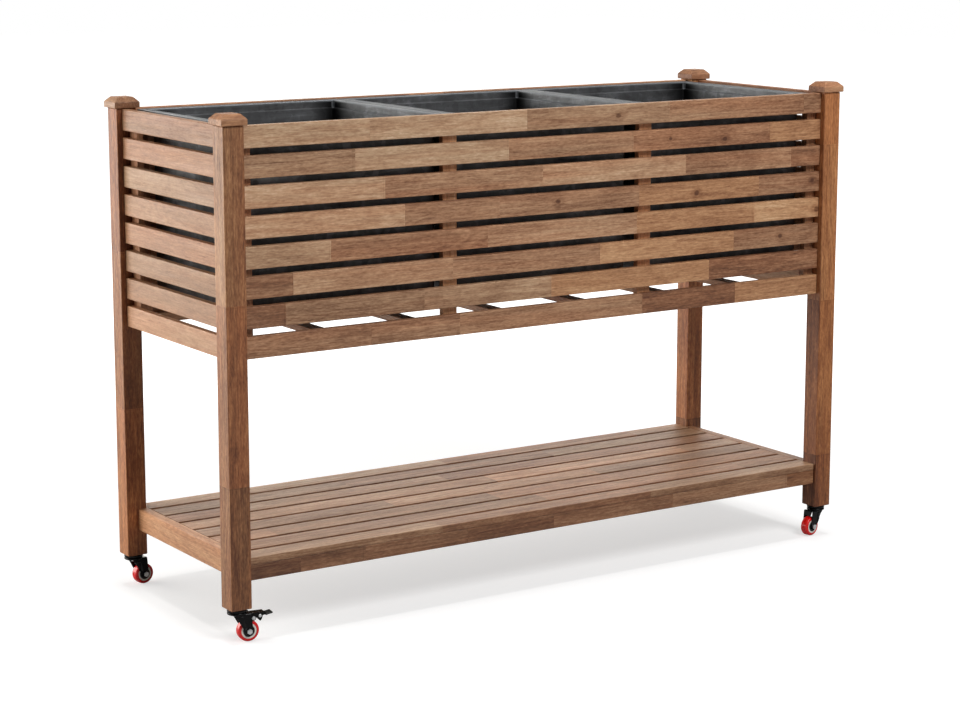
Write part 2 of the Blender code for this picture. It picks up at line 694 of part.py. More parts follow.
def lever_mesh():
    """Make a brake lever about its pivot, with its pin, its link rivet and its pedal."""
    base = side_plate_mesh("lever_base", lever_outline(), LEVER_WIDTH)
    reach = LEVER_WIDTH / 2 + LINK_PROUD
    rivet = cylinder_mesh("link_rivet", LINK_RADIUS, -reach, reach, PIN_STEPS, along_y=True)
    rivet.transform(Matrix.Translation((LINK_AHEAD, 0, LINK_UP)))
    half = (PEDAL_LENGTH / 2, PEDAL_WIDTH / 2, PEDAL_THICK / 2)
    pedal = box_mesh("pedal", [([-value for value in half], half)])
    pedal.transform(Matrix.Rotation(-PEDAL_TILT, 4, "Y"))
    ahead = LEVER_REACH + PEDAL_STEP / 2 + half[0] * math.cos(PEDAL_TILT)
    up = LEVER_RISE - PEDAL_DROP + half[0] * math.sin(PEDAL_TILT) - half[2]
    pedal.transform(Matrix.Translation((ahead, 0, up)))
    return combined_mesh("lever", base, [("UNION", rivet), ("UNION", pedal), ("UNION", pin_mesh())])


def stem_mesh():
    """Make what a castor turns on: stem, upper race, and the kingpin that is riveted in the fork."""
    top = POST_FOOT + STEM_LENGTH
    chamfer = STEM_RADIUS / 4
    seat = BRIDGE_UNDERSIDE - CLEARANCE
    foot = seat - RIVET_HEIGHT
    crown = RIVET_HEIGHT / 3
    stem = [(0, top), (STEM_RADIUS - chamfer, top), (STEM_RADIUS, top - chamfer)]
    race = rounded_disc(STEM_RADIUS, RACE_RADIUS, UPPER_RACE_FOOT, UPPER_RACE_TOP, RACE_ROUND)[:-1]
    kingpin = [(KINGPIN_RADIUS, UPPER_RACE_FOOT), (KINGPIN_RADIUS, seat), (RIVET_RADIUS, seat),
               (RIVET_RADIUS, foot + crown), (RIVET_RADIUS - crown, foot), (0, foot)]
    return turned_mesh("stem", [stem + race + kingpin], RACE_STEPS, closed=False)


def add_castor(corner, castor, meshes):
    """Add a castor: its stem in the post, and its moving pieces on an empty on the swivel axis."""
    x, y = post_centre(castor["side"])
    prefix = f"castor_{corner}_"
    new_part(prefix + "stem", meshes["stem"].copy(), BLACK_STEEL, (x, y, 0))
    swivel = bpy.data.objects.new(prefix + "swivel_axis", None)
    parts.objects.link(swivel)
    swivel.location = (x, y, 0)
    swivel.rotation_euler = (0, 0, math.radians(castor["heading"]))
    fork = meshes["brake_fork"] if castor["brake"] else meshes["fork"]
    new_part(prefix + "fork", fork.copy(), BLACK_STEEL, parent=swivel)
    hub = (TRAIL, 0, WHEEL_RADIUS)
    new_part(prefix + "axle", meshes["axle"].copy(), BRIGHT_STEEL, hub, swivel)
    for piece, finish in (("wheel", CREAM_PLASTIC), ("tyre", RED_TYRE)):
        turned = new_part(prefix + piece, meshes[piece].copy(), finish, hub, swivel)
        turned.rotation_euler = (-math.pi / 2, 0, 0)
    if castor["brake"]:
        pivot = (TRAIL + PIVOT_AHEAD, 0, WHEEL_RADIUS + PIVOT_UP)
        new_part(prefix + "brake_lever", meshes["lever"].copy(), BLACK_STEEL, pivot, swivel)


def castor_meshes():
    return {"stem": stem_mesh(),
            "fork": fork_mesh(brake=False),
            "brake_fork": fork_mesh(brake=True),
            "axle": axle_mesh(),
            "tyre": turned_mesh("tyre", [tyre_loop()], TYRE_STEPS),
            "wheel": turned_mesh("wheel", [wheel_loop()], WHEEL_STEPS),
            "lever": lever_mesh()}


def build_planter():
    for corner, castor in CASTORS.items():
        add_post(corner, castor["side"])
        add_cap(corner, castor["side"])
    add_front()
    add_back()
    add_sides()
    add_tray_bars()
    add_trays()
    add_shelf_frame()
    add_shelf_slats()
    meshes = castor_meshes()
    for corner, castor in CASTORS.items():
        add_castor(corner, castor, meshes)


clear_scene()
parts = new_collection("wooden_planter")
cutters = new_collection("cutters")
build_planter()
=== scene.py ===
"""The wooden planter's looks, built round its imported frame. Metres, +Z up, as in the frame."""

import math

import bpy
from mathutils import Matrix, Vector


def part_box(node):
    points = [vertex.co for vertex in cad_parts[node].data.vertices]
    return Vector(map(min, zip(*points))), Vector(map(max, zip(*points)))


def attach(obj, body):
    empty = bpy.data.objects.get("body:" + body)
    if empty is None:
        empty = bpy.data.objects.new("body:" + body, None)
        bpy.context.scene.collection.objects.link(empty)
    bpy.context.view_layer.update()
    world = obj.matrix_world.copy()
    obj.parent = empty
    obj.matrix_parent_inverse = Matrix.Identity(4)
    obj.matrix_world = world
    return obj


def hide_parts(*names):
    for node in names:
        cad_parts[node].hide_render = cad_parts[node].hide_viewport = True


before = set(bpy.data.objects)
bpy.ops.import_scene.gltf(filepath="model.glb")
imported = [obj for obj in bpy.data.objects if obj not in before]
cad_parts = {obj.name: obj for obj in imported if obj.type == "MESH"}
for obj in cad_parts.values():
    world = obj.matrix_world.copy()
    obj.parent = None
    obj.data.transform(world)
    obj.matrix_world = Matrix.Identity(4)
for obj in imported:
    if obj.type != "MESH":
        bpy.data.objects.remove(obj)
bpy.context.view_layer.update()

# Camera: the photograph's place and direction, with only a small shift
CAMERA_PLACE = (-2.1764, -3.3081, 1.1149)
CAMERA_YAW = 33.141
CAMERA_PITCH = -10.017
CAMERA_LENS = 88.56
CAMERA_SHIFT = -0.04

# Wood sections that the frame's joined panels are made of
BOARD_THICK = 0.012
BATTEN_THICK = 0.0115
BATTEN_WIDTH = 0.026
END_BATTEN = 0.0195
BATTEN_SHIFT = 0.0052
LEDGER_THICK = 0.015
RAIL_THICK = 0.018
END_RAIL_THICK = 0.0175
BEARER_WIDTH = 0.022
BEARER_HEIGHT = 0.018
CAP_CHAMFER = 0.008
CLEARANCE = 0.0003
BOARD_ARRIS = 0.0013
INNER_ARRIS = 0.001
FINE_ARRIS = 0.0008
POST_ARRIS = 0.0017

RIM_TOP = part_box("tray_left")[1][2]

# Castors, measured in their own frame: X trails from the swivel axis, Y along the axle
TRAIL = 0.0165
WHEEL_RADIUS = 0.017
WHEEL_HALF = 0.0075
CORE_RADIUS = 0.0122
HUB_RADIUS = 0.0092
BRIDGE_UNDERSIDE = 0.0437
BRIDGE_TOP = 0.046
FORK_INNER = 0.0085
FORK_OUTER = 0.0103
RACE_RADIUS = 0.0155
AXLE_RADIUS = 0.0025
AXLE_HEAD = 0.0046
HEAD_HEIGHT = 0.0022
PIVOT_BOSS = 0.0042
PIVOT = (TRAIL + 0.0068, WHEEL_RADIUS + 0.0207)
LINK = (0.0115, 0.0016)
HEADINGS = {"front_left": -9, "front_right": 191, "back_left": 6, "back_right": 172}
BRAKED = ("front_left", "back_right")

# Grain directions' spans: over a long board, across the planter, up the box, along the shelf
LONG = (-0.565, 0.565)
ACROSS = (-0.2, 0.2)
UPRIGHT = (0.4, 0.8)
SHELF = (-0.57, 0.57)

# The floor: how bright it is to light, to the camera, and by its own glow near the planter and far
FLOOR_BOUNCE = 0.45
FLOOR_SHADE = 0.5
FLOOR_GLOW = 0.59
FLOOR_FADE = (0.9, 1.7)


# Selecting and finishing

def rest():
    """Leave edit mode and deselect everything."""
    if bpy.context.object and bpy.context.object.mode != "OBJECT":
        bpy.ops.object.mode_set(mode="OBJECT")
    bpy.ops.object.select_all(action="DESELECT")


def take(obj):
    rest()
    obj.select_set(True)
    bpy.context.view_layer.objects.active = obj


def pick(obj, kind, test):
    """Go to edit mode with the faces or edges selected that pass a test on middle and direction."""
    take(obj)
    bpy.ops.object.mode_set(mode="EDIT")
    bpy.ops.mesh.select_mode(type=kind)
    bpy.ops.mesh.select_all(action="DESELECT")
    bpy.ops.object.mode_set(mode="OBJECT")
    mesh = obj.data
    if kind == "FACE":
        for face in mesh.polygons:
            face.select = bool(test(face.center, face.normal))
    else:
        for edge in mesh.edges:
            a, b = (mesh.vertices[i].co for i in edge.vertices)
            edge.select = bool(test((a + b) / 2, (b - a).normalized()))
    bpy.ops.object.mode_set(mode="EDIT")


def apply_place(obj):
    take(obj)
    bpy.ops.object.transform_apply(location=True, rotation=True, scale=True)


def soften(obj, angle=35):
    """Shade round faces smooth, and keep flat faces flat and sharp edges sharp."""
    take(obj)
    bpy.ops.object.shade_smooth_by_angle(angle=math.radians(angle))
    apply_modifier(obj, "WEIGHTED_NORMAL", keep_sharp=True)
    rest()


def block(size, middle=(0, 0, 0)):
    """Add a block of a size, with its place applied."""
    rest()
    bpy.ops.mesh.primitive_cube_add(size=1, location=middle)
    obj = bpy.context.object
    obj.scale = size
    apply_place(obj)
    return obj


def rod(radius, low, high, vertices=32):
    """Add an upright rod on the Z axis, with its place applied."""
    rest()
    bpy.ops.mesh.primitive_cylinder_add(vertices=vertices, radius=radius, depth=high - low,
                                        location=(0, 0, (low + high) / 2))
    obj = bpy.context.object
    apply_place(obj)
    return obj


def apply_modifier(obj, kind, **settings):
    take(obj)
    modifier = obj.modifiers.new(kind.lower(), kind)
    for key, value in settings.items():
        setattr(modifier, key, value)
    bpy.ops.object.modifier_apply(modifier=modifier.name)


def carve(obj, operation, tool):
    """Join, cut or intersect a piece with a tool, which is used up."""
    apply_modifier(obj, "BOOLEAN", operation=operation, object=tool, solver="EXACT")
    bpy.data.objects.remove(tool, do_unlink=True)


def ease(obj, width, segments=2, angle=35):
    apply_modifier(obj, "BEVEL", width=width, segments=segments, limit_method="ANGLE",
                   angle_limit=math.radians(angle), use_clamp_overlap=True)


def dress(obj, material, body, slot, *nodes):
    """Give a finished piece its material and its body, and hide the nodes it stands for. The slot is not
    used.
    """
    obj.data.materials.clear()
    obj.data.materials.append(material)
    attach(obj, body)
    if nodes:
        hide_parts(*nodes)


# Materials

def srgb(red, green, blue):
    """Turn a colour as a picture states it, from 0 to 255, into light."""
    values = [v / 255 for v in (red, green, blue)]
    return tuple(v / 12.92 if v <= 0.04045 else ((v + 0.055) / 1.055) ** 2.4 for v in values) + (1.0,)


class Paint:
    """A material in the making: its nodes, and short ways to add and join them."""

    def __init__(self, name):
        self.material = bpy.data.materials.new(name)
        self.material.use_nodes = True
        self.tree = self.material.node_tree
        self.shader = self.tree.nodes["Principled BSDF"]

    def set(self, **sockets):
        for name, value in sockets.items():
            self.shader.inputs[name.replace("_", " ")].default_value = value

    def node(self, kind, inputs=(), **settings):
        node = self.tree.nodes.new("ShaderNode" + kind)
        for key, value in settings.items():
            setattr(node, key, value)
        for key, value in dict(inputs).items():
            self.feed(node.inputs[key], value)
        return node

    def feed(self, socket, value):
        if isinstance(value, bpy.types.NodeSocket):
            self.tree.links.new(value, socket)
        else:
            socket.default_value = value

    def math(self, operation, a, b=0.5, c=0.5, clamp=False):
        inputs = {0: a, 1: b}
        if operation == "MULTIPLY_ADD":
            inputs[2] = c
        return self.node("Math", inputs, operation=operation, use_clamp=clamp).outputs[0]

    def noise(self, vector, scale=1.0, detail=2.0, roughness=0.5, distortion=0.0):
        inputs = {"Vector": vector, "Scale": scale, "Detail": detail, "Roughness": roughness,
                  "Distortion": distortion}
        return self.node("TexNoise", inputs, noise_dimensions="3D").outputs["Fac"]

    def remap(self, value, low, high, new_low=0.0, new_high=1.0, smooth=False):
        kind = "SMOOTHSTEP" if smooth else "LINEAR"
        inputs = {"Value": value, "From Min": low, "From Max": high, "To Min": new_low, "To Max": new_high}
        return self.node("MapRange", inputs, interpolation_type=kind, clamp=True).outputs["Result"]

    def mix(self, factor, a, b, blend="MIX"):
        node = self.node("Mix", {0: factor}, data_type="RGBA", blend_type=blend, clamp_factor=True)
        self.feed(node.inputs[6], a)
        self.feed(node.inputs[7], b)
        return node.outputs[2]

    def ramp(self, value, stops, interpolation="LINEAR"):
        node = self.node("ValToRGB", {"Fac": value})
        ramp = node.color_ramp
        ramp.interpolation = interpolation
        while len(ramp.elements) < len(stops):
            ramp.elements.new(0.5)
        for element, (place, colour) in zip(ramp.elements, stops):
            element.position = place
            element.color = colour
        return node.outputs["Color"]

    def bump(self, height, distance, strength=1.0):
        node = self.node("Bump", {"Height": height, "Distance": distance, "Strength": strength})
        self.tree.links.new(node.outputs["Normal"], self.shader.inputs["Normal"])

    def colour(self, value):
        self.tree.links.new(value, self.shader.inputs["Base Color"])

    def roughness(self, value):
        self.tree.links.new(value, self.shader.inputs["Roughness"])


# The wood's tones, from dark to pale, on one scale
WOOD_TONES = {"ember": 0.03, "dusk": 0.15, "soot": 0.24, "umber": 0.33, "russet": 0.39, "brown": 0.45,
              "chestnut": 0.50, "tan": 0.56, "honey": 0.68, "pale": 0.77}
WOOD_CASTS = {"ash": 0.0, "plain": 0.35, "rose": 0.62, "gold": 1.0}
WOOD_SCALE = [(0.0, srgb(92, 56, 36)), (0.3, srgb(140, 96, 66)), (0.6, srgb(184, 138, 102)),
              (0.85, srgb(212, 170, 132)), (1.0, srgb(228, 192, 156))]


def wood(name, along, span, staves, seed, knots=(), strips=(), step=0.10, red=0.0, gold=0.0, arc=1.0,
         figure=0.10, depth=1.0, edge=0.0, end=0.16):
    """Oiled hardwood whose grain runs along an axis, over a span of it.

    staves lists each glued length's far end, its tone and maybe its cast. strips are places across the
    grain where laminated layers meet, each layer darker than the last by step; set just inside a corner, a
    strip instead paints one face apart from the next, as painted light and shade. knots lists (place along,
    place across, length, height) of each knot. figure is how strongly the growth rings show, depth the same
    for the finer grain, edge the painted shade on the sawn sides where the gaps between boards shade them,
    end how much darker the end grain is (a negative end paints it lighter, as painted light), and red and
    gold how far the colour leans that way.
    """
    paint = Paint(name)
    coords = paint.node("TexCoord").outputs["Object"]
    axes = paint.node("SeparateXYZ", {0: coords})
    order = {"X": (0, 1, 2), "Y": (1, 0, 2), "Z": (2, 0, 1)}[along]
    u, v, w = (axes.outputs[i] for i in order)
    low, high = span

    # Each stave has its own tone and its own stretch of the grain
    stops = []
    start = 0.0
    for number, (far_end, tone, *cast) in enumerate(staves):
        shift = (0.37 + 0.61 * number + 0.173 * seed) % 1.0
        hue = WOOD_CASTS[cast[0]] if cast else (0.15 + 0.43 * number + 0.31 * seed) % 0.9
        stops.append((start, (WOOD_TONES[tone], shift, hue, 1.0)))
        start = (far_end - low) / (high - low)
    place = paint.remap(u, low, high)
    stave = paint.node("SeparateColor", {0: paint.ramp(place, stops, "CONSTANT")})
    tone, shift, hue = (stave.outputs[i] for i in range(3))
    # Each strip shifts the tone beyond it by step. Set just inside a post's corner, a strip is painted light
    # and shade that sets one face apart from the next.
    for strip in strips:
        beyond = paint.math("GREATER_THAN", v, strip)
        shift = paint.math("MULTIPLY_ADD", beyond, 0.43, shift)
        tone = paint.math("MULTIPLY_ADD", beyond, -step, tone)

    u2 = paint.math("MULTIPLY_ADD", shift, 3.7, u)
    v2 = paint.math("MULTIPLY_ADD", shift, 1.9, v)
    w2 = paint.math("MULTIPLY_ADD", shift, 2.3, w)
    u2 = paint.math("ADD", u2, 1.31 * seed)

    def stretched(lengthwise, across):
        inputs = {0: paint.math("MULTIPLY", u2, lengthwise), 1: paint.math("MULTIPLY", v2, across),
                  2: paint.math("MULTIPLY", w2, across)}
        return paint.node("CombineXYZ", inputs).outputs[0]

    # Broad colour bands, growth rings that wander, fine fibres and short open pores
    bands = paint.noise(stretched(2.2, 26), 1.0, 2.0, 0.5, 0.4)
    field = paint.noise(stretched(1.7 * arc, 15), 1.0, 3.0, 0.45, 0.9)
    rings = paint.math("PINGPONG", paint.math("MULTIPLY", field, 13.0), 0.5)
    rings = paint.remap(rings, 0.02, 0.40, 0.0, 1.0, smooth=True)
    fibres = paint.noise(stretched(14, 620), 1.0, 2.0, 0.6)
    streaks = paint.noise(stretched(5, 150), 1.0, 3.0, 0.6)
    flecks = paint.noise(stretched(30, 330), 1.0, 2.0, 0.65)
    specks = paint.noise(stretched(120, 430), 1.0, 2.0, 0.6)
    pores = paint.remap(paint.noise(stretched(75, 900), 1.0, 1.0, 0.5), 0.63, 0.74)
    blotch = paint.noise(stretched(6, 9), 1.0, 2.0, 0.5)

    level = paint.math("MULTIPLY_ADD", paint.math("SUBTRACT", rings, 0.6), figure, tone)
    for pattern, weight in ((bands, 0.40), (fibres, 0.32), (streaks, 0.28), (flecks, 0.40), (specks, 0.48),
                            (blotch, 0.24)):
        level = paint.math("MULTIPLY_ADD", paint.math("SUBTRACT", pattern, 0.5), weight * depth, level)
    level = paint.math("MULTIPLY_ADD", pores, -0.16, level)

    # A knot is a dark eye that the grain crowds round
    for along_knot, across_knot, length, height in knots:
        du = paint.math("DIVIDE", paint.math("SUBTRACT", u, along_knot), length)
        dw = paint.math("DIVIDE", paint.math("SUBTRACT", w, across_knot), height)
        reach = paint.math("ADD", paint.math("MULTIPLY", du, du), paint.math("MULTIPLY", dw, dw))
        reach = paint.math("MULTIPLY_ADD", paint.math("SUBTRACT", bands, 0.5), 1.2, reach)
        eye = paint.remap(reach, 0.2, 1.2, 1.0, 0.0, smooth=True)
        level = paint.math("MULTIPLY_ADD", eye, -0.34, level)
        halo = paint.remap(reach, 1.0, 9.0, 1.0, 0.0, smooth=True)
        level = paint.math("MULTIPLY_ADD", halo, -0.13, level)

    # End grain is darker by end, and lighter where end is below zero, which is painted light. A hairline of
    # glue shows at each joint
    normal = paint.node("SeparateXYZ", {0: paint.node("TexCoord").outputs["Normal"]})
    endwise = paint.math("ABSOLUTE", normal.outputs[order[0]])
    level = paint.math("MULTIPLY_ADD", paint.remap(endwise, 0.6, 0.9), -end, level)
    # Painted shade: edge darkens the sawn sides, as the gaps between the shelf's slats shade them.
    if edge:
        side = paint.math("ABSOLUTE", normal.outputs[order[1]])
        level = paint.math("MULTIPLY_ADD", paint.remap(side, 0.5, 0.9), -edge, level)
    for joint, *_ in list(staves)[:-1]:
        apart = paint.math("ABSOLUTE", paint.math("SUBTRACT", u, joint))
        level = paint.math("MULTIPLY_ADD", paint.remap(apart, 0.00015, 0.0006, 1.0, 0.0), -0.12, level)
    for strip in strips:
        apart = paint.math("ABSOLUTE", paint.math("SUBTRACT", v, strip))
        level = paint.math("MULTIPLY_ADD", paint.remap(apart, 0.0001, 0.0005, 1.0, 0.0), -0.15, level)

    colour = paint.ramp(level, WOOD_SCALE)
    rosy = paint.mix(1.0, colour, (1.07, 0.92, 0.86, 1.0), "MULTIPLY")
    drab = paint.mix(1.0, colour, (0.94, 1.01, 1.07, 1.0), "MULTIPLY")
    tint = paint.noise(stretched(3, 55), 1.0, 2.0, 0.5)
    warmth = paint.math("MULTIPLY_ADD", paint.math("SUBTRACT", tint, 0.5), 1.4, 0.05 + red)
    warmth = paint.math("MULTIPLY_ADD", hue, 0.95, warmth, clamp=True)
    warmth = paint.math("MULTIPLY", warmth, paint.remap(hue, 0.85, 0.98, 1.0, 0.35))
    colour = paint.mix(warmth, drab, rosy)
    golden = paint.mix(1.0, colour, (1.10, 0.90, 0.60, 1.0), "MULTIPLY")
    colour = paint.mix(paint.remap(hue, 0.85, 0.98, gold, gold + 0.4), colour, golden)
    paint.colour(colour)
    paint.roughness(paint.remap(paint.math("ADD", fibres, streaks), 0.7, 1.3, 0.62, 0.47))
    relief = paint.math("MULTIPLY_ADD", pores, -0.8, fibres)
    relief = paint.math("MULTIPLY_ADD", rings, 0.35, relief)
    paint.bump(relief, 0.00035, 0.5)
    paint.set(Specular_IOR_Level=0.5)
    return paint.material


def zinc(name, centre, half):
    """Galvanised sheet: dull and clouded, rubbed bright on the rim and along each corner's seam, with painted
    shade darkening its inside faces towards each corner.
    """
    paint = Paint(name)
    coords = paint.node("TexCoord").outputs["Object"]
    axes = paint.node("SeparateXYZ", {0: coords})
    x, y, z = axes.outputs

    def stretched(level_scale, upright_scale):
        inputs = {0: paint.math("MULTIPLY", x, level_scale), 1: paint.math("MULTIPLY", y, level_scale),
                  2: paint.math("MULTIPLY", z, upright_scale)}
        return paint.node("CombineXYZ", inputs).outputs[0]

    streaks = paint.noise(stretched(60.0, 3.0), 1.0, 4.0, 0.6, 0.3)
    smears = paint.noise(stretched(9.0, 42.0), 1.0, 4.0, 0.6, 0.8)
    clouds = paint.noise(coords, 9.0, 4.0, 0.6, 0.6)
    spangle = paint.node("TexVoronoi", {"Vector": coords, "Scale": 95.0}).outputs["Color"]
    spangle = paint.node("SeparateColor", {0: spangle}).outputs[0]
    level = paint.math("MULTIPLY_ADD", streaks, 0.10, paint.math("MULTIPLY", clouds, 0.42))
    level = paint.math("MULTIPLY_ADD", smears, 0.42, level)
    level = paint.math("MULTIPLY_ADD", spangle, 0.06, level)
    greys = [(0.36, srgb(83, 83, 84)), (0.52, srgb(120, 121, 123)), (0.70, srgb(180, 183, 187))]
    dull = paint.ramp(level, greys)
    rubbed = paint.ramp(level, [(0.30, srgb(118, 121, 124)), (0.8, srgb(162, 165, 169))])
    rim = paint.remap(z, RIM_TOP - 0.0045, RIM_TOP - 0.0025)
    from_end = paint.math("SUBTRACT", half[0], paint.math("ABSOLUTE", paint.math("SUBTRACT", x, centre)))
    from_side = paint.math("SUBTRACT", half[1], paint.math("ABSOLUTE", y))
    from_corner = paint.math("MAXIMUM", from_end, from_side)
    seam = paint.remap(from_corner, 0.0195, 0.0215, 0.8, 0.0)
    # Painted shade: the inside faces darken towards each corner, down to a tenth of their colour; faces
    # turned outward are left as they are.
    painted_corner_shade = paint.remap(from_corner, 0.022, 0.075, 0.10, 1.0, smooth=True)
    facing = paint.node("SeparateXYZ", {0: paint.node("TexCoord").outputs["Normal"]}).outputs
    outward = paint.math("MULTIPLY", paint.math("SUBTRACT", x, centre), facing[0])
    outward = paint.math("MULTIPLY_ADD", y, facing[1], outward)
    painted_corner_shade = paint.math("MAXIMUM", painted_corner_shade, paint.remap(outward, -0.01, 0.01))
    dull = paint.mix(1.0, dull, paint.node("CombineXYZ", {0: painted_corner_shade, 1: painted_corner_shade, 2: painted_corner_shade}).outputs[0], "MULTIPLY")
    paint.colour(paint.mix(paint.math("MAXIMUM", rim, seam), dull, rubbed))
    paint.roughness(paint.remap(level, 0.3, 0.8, 0.55, 0.36))
    paint.bump(paint.math("MULTIPLY_ADD", clouds, 2.0, streaks), 0.0004, 0.35)
    paint.set(Metallic=0.85)
    return paint.material


def gloss_black():
    """Black enamel on pressed steel, with a faint ripple and a little dust on top."""
    paint = Paint("black_enamel")
    coords = paint.node("TexCoord").outputs["Object"]
    ripple = paint.noise(coords, 420.0, 2.0, 0.5)
    dust = paint.noise(coords, 1300.0, 3.0, 0.7)
    dusty = paint.remap(dust, 0.45, 0.8)
    paint.colour(paint.ramp(dusty, [(0.0, srgb(4, 4, 5)), (1.0, srgb(12, 12, 14))]))
    paint.roughness(paint.remap(dust, 0.4, 0.75, 0.14, 0.30))
    paint.bump(ripple, 0.00008, 0.5)
    paint.set(Specular_IOR_Level=0.1, Coat_Weight=0.25, Coat_Roughness=0.05)
    return paint.material


def plastic(name, grain, stops, rough, depth, strength):
    """Moulded plastic with a fine spark-eroded grain."""
    paint = Paint(name)
    coords = paint.node("TexCoord").outputs["Object"]
    fine = paint.noise(coords, grain, 3.0, 0.6)
    paint.colour(paint.ramp(fine, stops))
    paint.roughness(paint.remap(fine, 0.3, 0.7, *rough))
    paint.bump(fine, depth, strength)
    return paint.material


def red_rubber():
    """Cast red polyurethane: satin, scuffed along the tread."""
    paint = Paint("red_polyurethane")
    coords = paint.node("TexCoord").outputs["Object"]
    scuff = paint.noise(coords, 900.0, 4.0, 0.65)
    cloud = paint.noise(coords, 130.0, 2.0, 0.5)
    level = paint.math("MULTIPLY_ADD", scuff, 0.5, paint.math("MULTIPLY", cloud, 0.5))
    reds = [(0.3, srgb(222, 10, 14)), (0.55, srgb(246, 22, 22)), (0.8, srgb(253, 54, 42))]
    paint.colour(paint.ramp(level, reds))
    paint.roughness(paint.remap(level, 0.35, 0.7, 0.28, 0.46))
    paint.bump(scuff, 0.00008, 0.5)
    paint.set(Subsurface_Weight=0.06, Subsurface_Scale=0.003, Coat_Weight=0.4, Coat_Roughness=0.22)
    return paint.material


def bright_steel():
    """Bright zinc plate, lightly brushed."""
    paint = Paint("bright_plate")
    coords = paint.node("TexCoord").outputs["Object"]
    fine = paint.noise(coords, 1600.0, 2.0, 0.6)
    wear = paint.noise(coords, 260.0, 3.0, 0.6)
    paint.colour(paint.ramp(wear, [(0.3, srgb(214, 216, 218)), (0.7, srgb(248, 249, 250))]))
    paint.roughness(paint.remap(fine, 0.3, 0.7, 0.24, 0.42))
    paint.bump(fine, 0.00004, 0.5)
    paint.set(Metallic=1.0)
    return paint.material


# Timber

def timber(name, low, high, arris, material, slot, node):
    """Make a straight length of wood: a block with eased arrises."""
    middle = [(a + b) / 2 for a, b in zip(low, high)]
    obj = block([b - a for a, b in zip(low, high)], middle)
    obj.name = name
    bpy.ops.object.mode_set(mode="EDIT")
    bpy.ops.mesh.select_all(action="SELECT")
    bpy.ops.mesh.bevel(offset=arris, offset_type="OFFSET", segments=2, profile=0.5, affect="EDGES")
    soften(obj, 50)
    dress(obj, material, "root", slot, node)
    return obj


def box_of(node):
    low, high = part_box(node)
    return list(low), list(high)


def mirrored(low, high, axis):
    """Return a block's twin across the middle of the planter."""
    low, high = list(low), list(high)
    low[axis], high[axis] = -high[axis], -low[axis]
    return low, high


# The front boards from the top: each stave's far end in millimetres, its tone and its cast
# The ash casts and pale tones toward the boards' left ends are partly painted sheen, greying and lightening
# the staves where the light glances off them; the rest is the staves' own colour.
FRONT_STAVES = (
    ((-345, "pale", "ash"), (-53, "honey", "ash"), (230, "tan", "ash"), (524, "tan", "plain"),
     (565, "russet", "plain")),
    ((-375, "tan", "ash"), (-91, "honey", "ash"), (157, "tan", "plain"), (449, "brown", "rose"),
     (565, "tan", "gold")),
    ((-321, "pale", "plain"), (-26, "tan", "plain"), (269, "honey", "plain"), (495, "tan", "plain"),
     (565, "russet", "rose")),
    ((-286, "pale", "plain"), (-109, "tan", "plain"), (171, "chestnut", "plain"), (426, "tan", "gold"),
     (565, "brown", "plain")),
    ((-418, "honey", "ash"), (-130, "brown", "rose"), (166, "honey", "plain"), (415, "honey", "gold"),
     (565, "pale", "gold")),
    ((-482, "russet", "plain"), (-196, "honey", "plain"), (91, "tan", "plain"), (375, "honey", "gold"),
     (565, "chestnut", "plain")),
    ((-497, "umber", "plain"), (-250, "brown", "ash"), (-6, "tan", "ash"), (322, "honey", "gold"),
     (565, "umber", "rose")),
    ((-345, "russet", "plain"), (-185, "brown", "plain"), (180, "chestnut", "plain"),
     (379, "soot", "rose"), (565, "tan", "gold")),
)
FRONT_KNOTS = {0: ((0.128, 0.7745, 0.006, 0.004),),
               1: ((0.352, 0.7245, 0.005, 0.004), (0.236, 0.731, 0.004, 0.003),
                   (-0.505, 0.7345, 0.03, 0.0006)),
               3: ((0.008, 0.641, 0.006, 0.004), (0.293, 0.636, 0.006, 0.005), (0.548, 0.642, 0.004, 0.0035)),
               4: ((0.560, 0.590, 0.006, 0.005),), 5: ((0.478, 0.549, 0.005, 0.004),)}


def metres(staves):
    return [(end / 1000, *rest_of_stave) for end, *rest_of_stave in staves]


def shuffled(number, count=5):
    """Return staves for a board that no one sees from the front, by a fixed rule."""
    tones = ("tan", "honey", "brown", "tan", "honey", "umber", "tan")
    start, finish = LONG
    even = [start + (finish - start) * (i + 1) / count for i in range(count)]
    ends = [end + 0.09 * math.sin(2.3 * i + 2.9 * number) for i, end in enumerate(even)]
    ends[-1] = finish
    return [(end, tones[(3 * number + 2 * i) % 7]) for i, end in enumerate(ends)]


def make_long_boards():
    for i, staves in enumerate(FRONT_STAVES):
        node = f"front_board_{i + 1}"
        low, high = box_of(node)
        look = wood(f"front_board_{i + 1}_wood", "X", LONG, metres(staves), i,
                    FRONT_KNOTS.get(i, ()), depth=1.25)
        timber(f"front_slat_{i + 1}", low, high, BOARD_ARRIS, look, "front_wood", node)
        look = wood(f"back_board_{i + 1}_wood", "X", LONG, shuffled(i), i + 11)
        timber(f"back_slat_{i + 1}", *mirrored(low, high, 1), BOARD_ARRIS, look, "front_wood", "back_panel")


def make_end_boards():
    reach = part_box("left_panel")[1][1]
    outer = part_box("right_panel")[1][0]
    for i in range(8):
        board_low, board_high = box_of(f"front_board_{i + 1}")
        low = (outer - BOARD_THICK, -reach, board_low[2])
        high = (outer, reach, board_high[2])
        tone = ("brown", "tan", "tan", "tan", "tan", "tan", "tan", "honey")[i]
        look = wood(f"left_board_{i + 1}_wood", "Y", ACROSS, [(0.2, tone)], i + 21, red=-0.1, gold=0.1,
                    arc=1.4, figure=0.06, depth=0.7)
        timber(f"left_slat_{i + 1}", *mirrored(low, high, 0), BOARD_ARRIS, look, "side_wood", "left_panel")
        tone = "tan" if i % 3 else "brown"
        look = wood(f"right_board_{i + 1}_wood", "Y", ACROSS, [(0.2, tone)], i + 31, arc=1.4,
                    figure=0.06, depth=0.8)
        timber(f"right_slat_{i + 1}", low, high, BOARD_ARRIS, look, "side_wood", "right_panel")


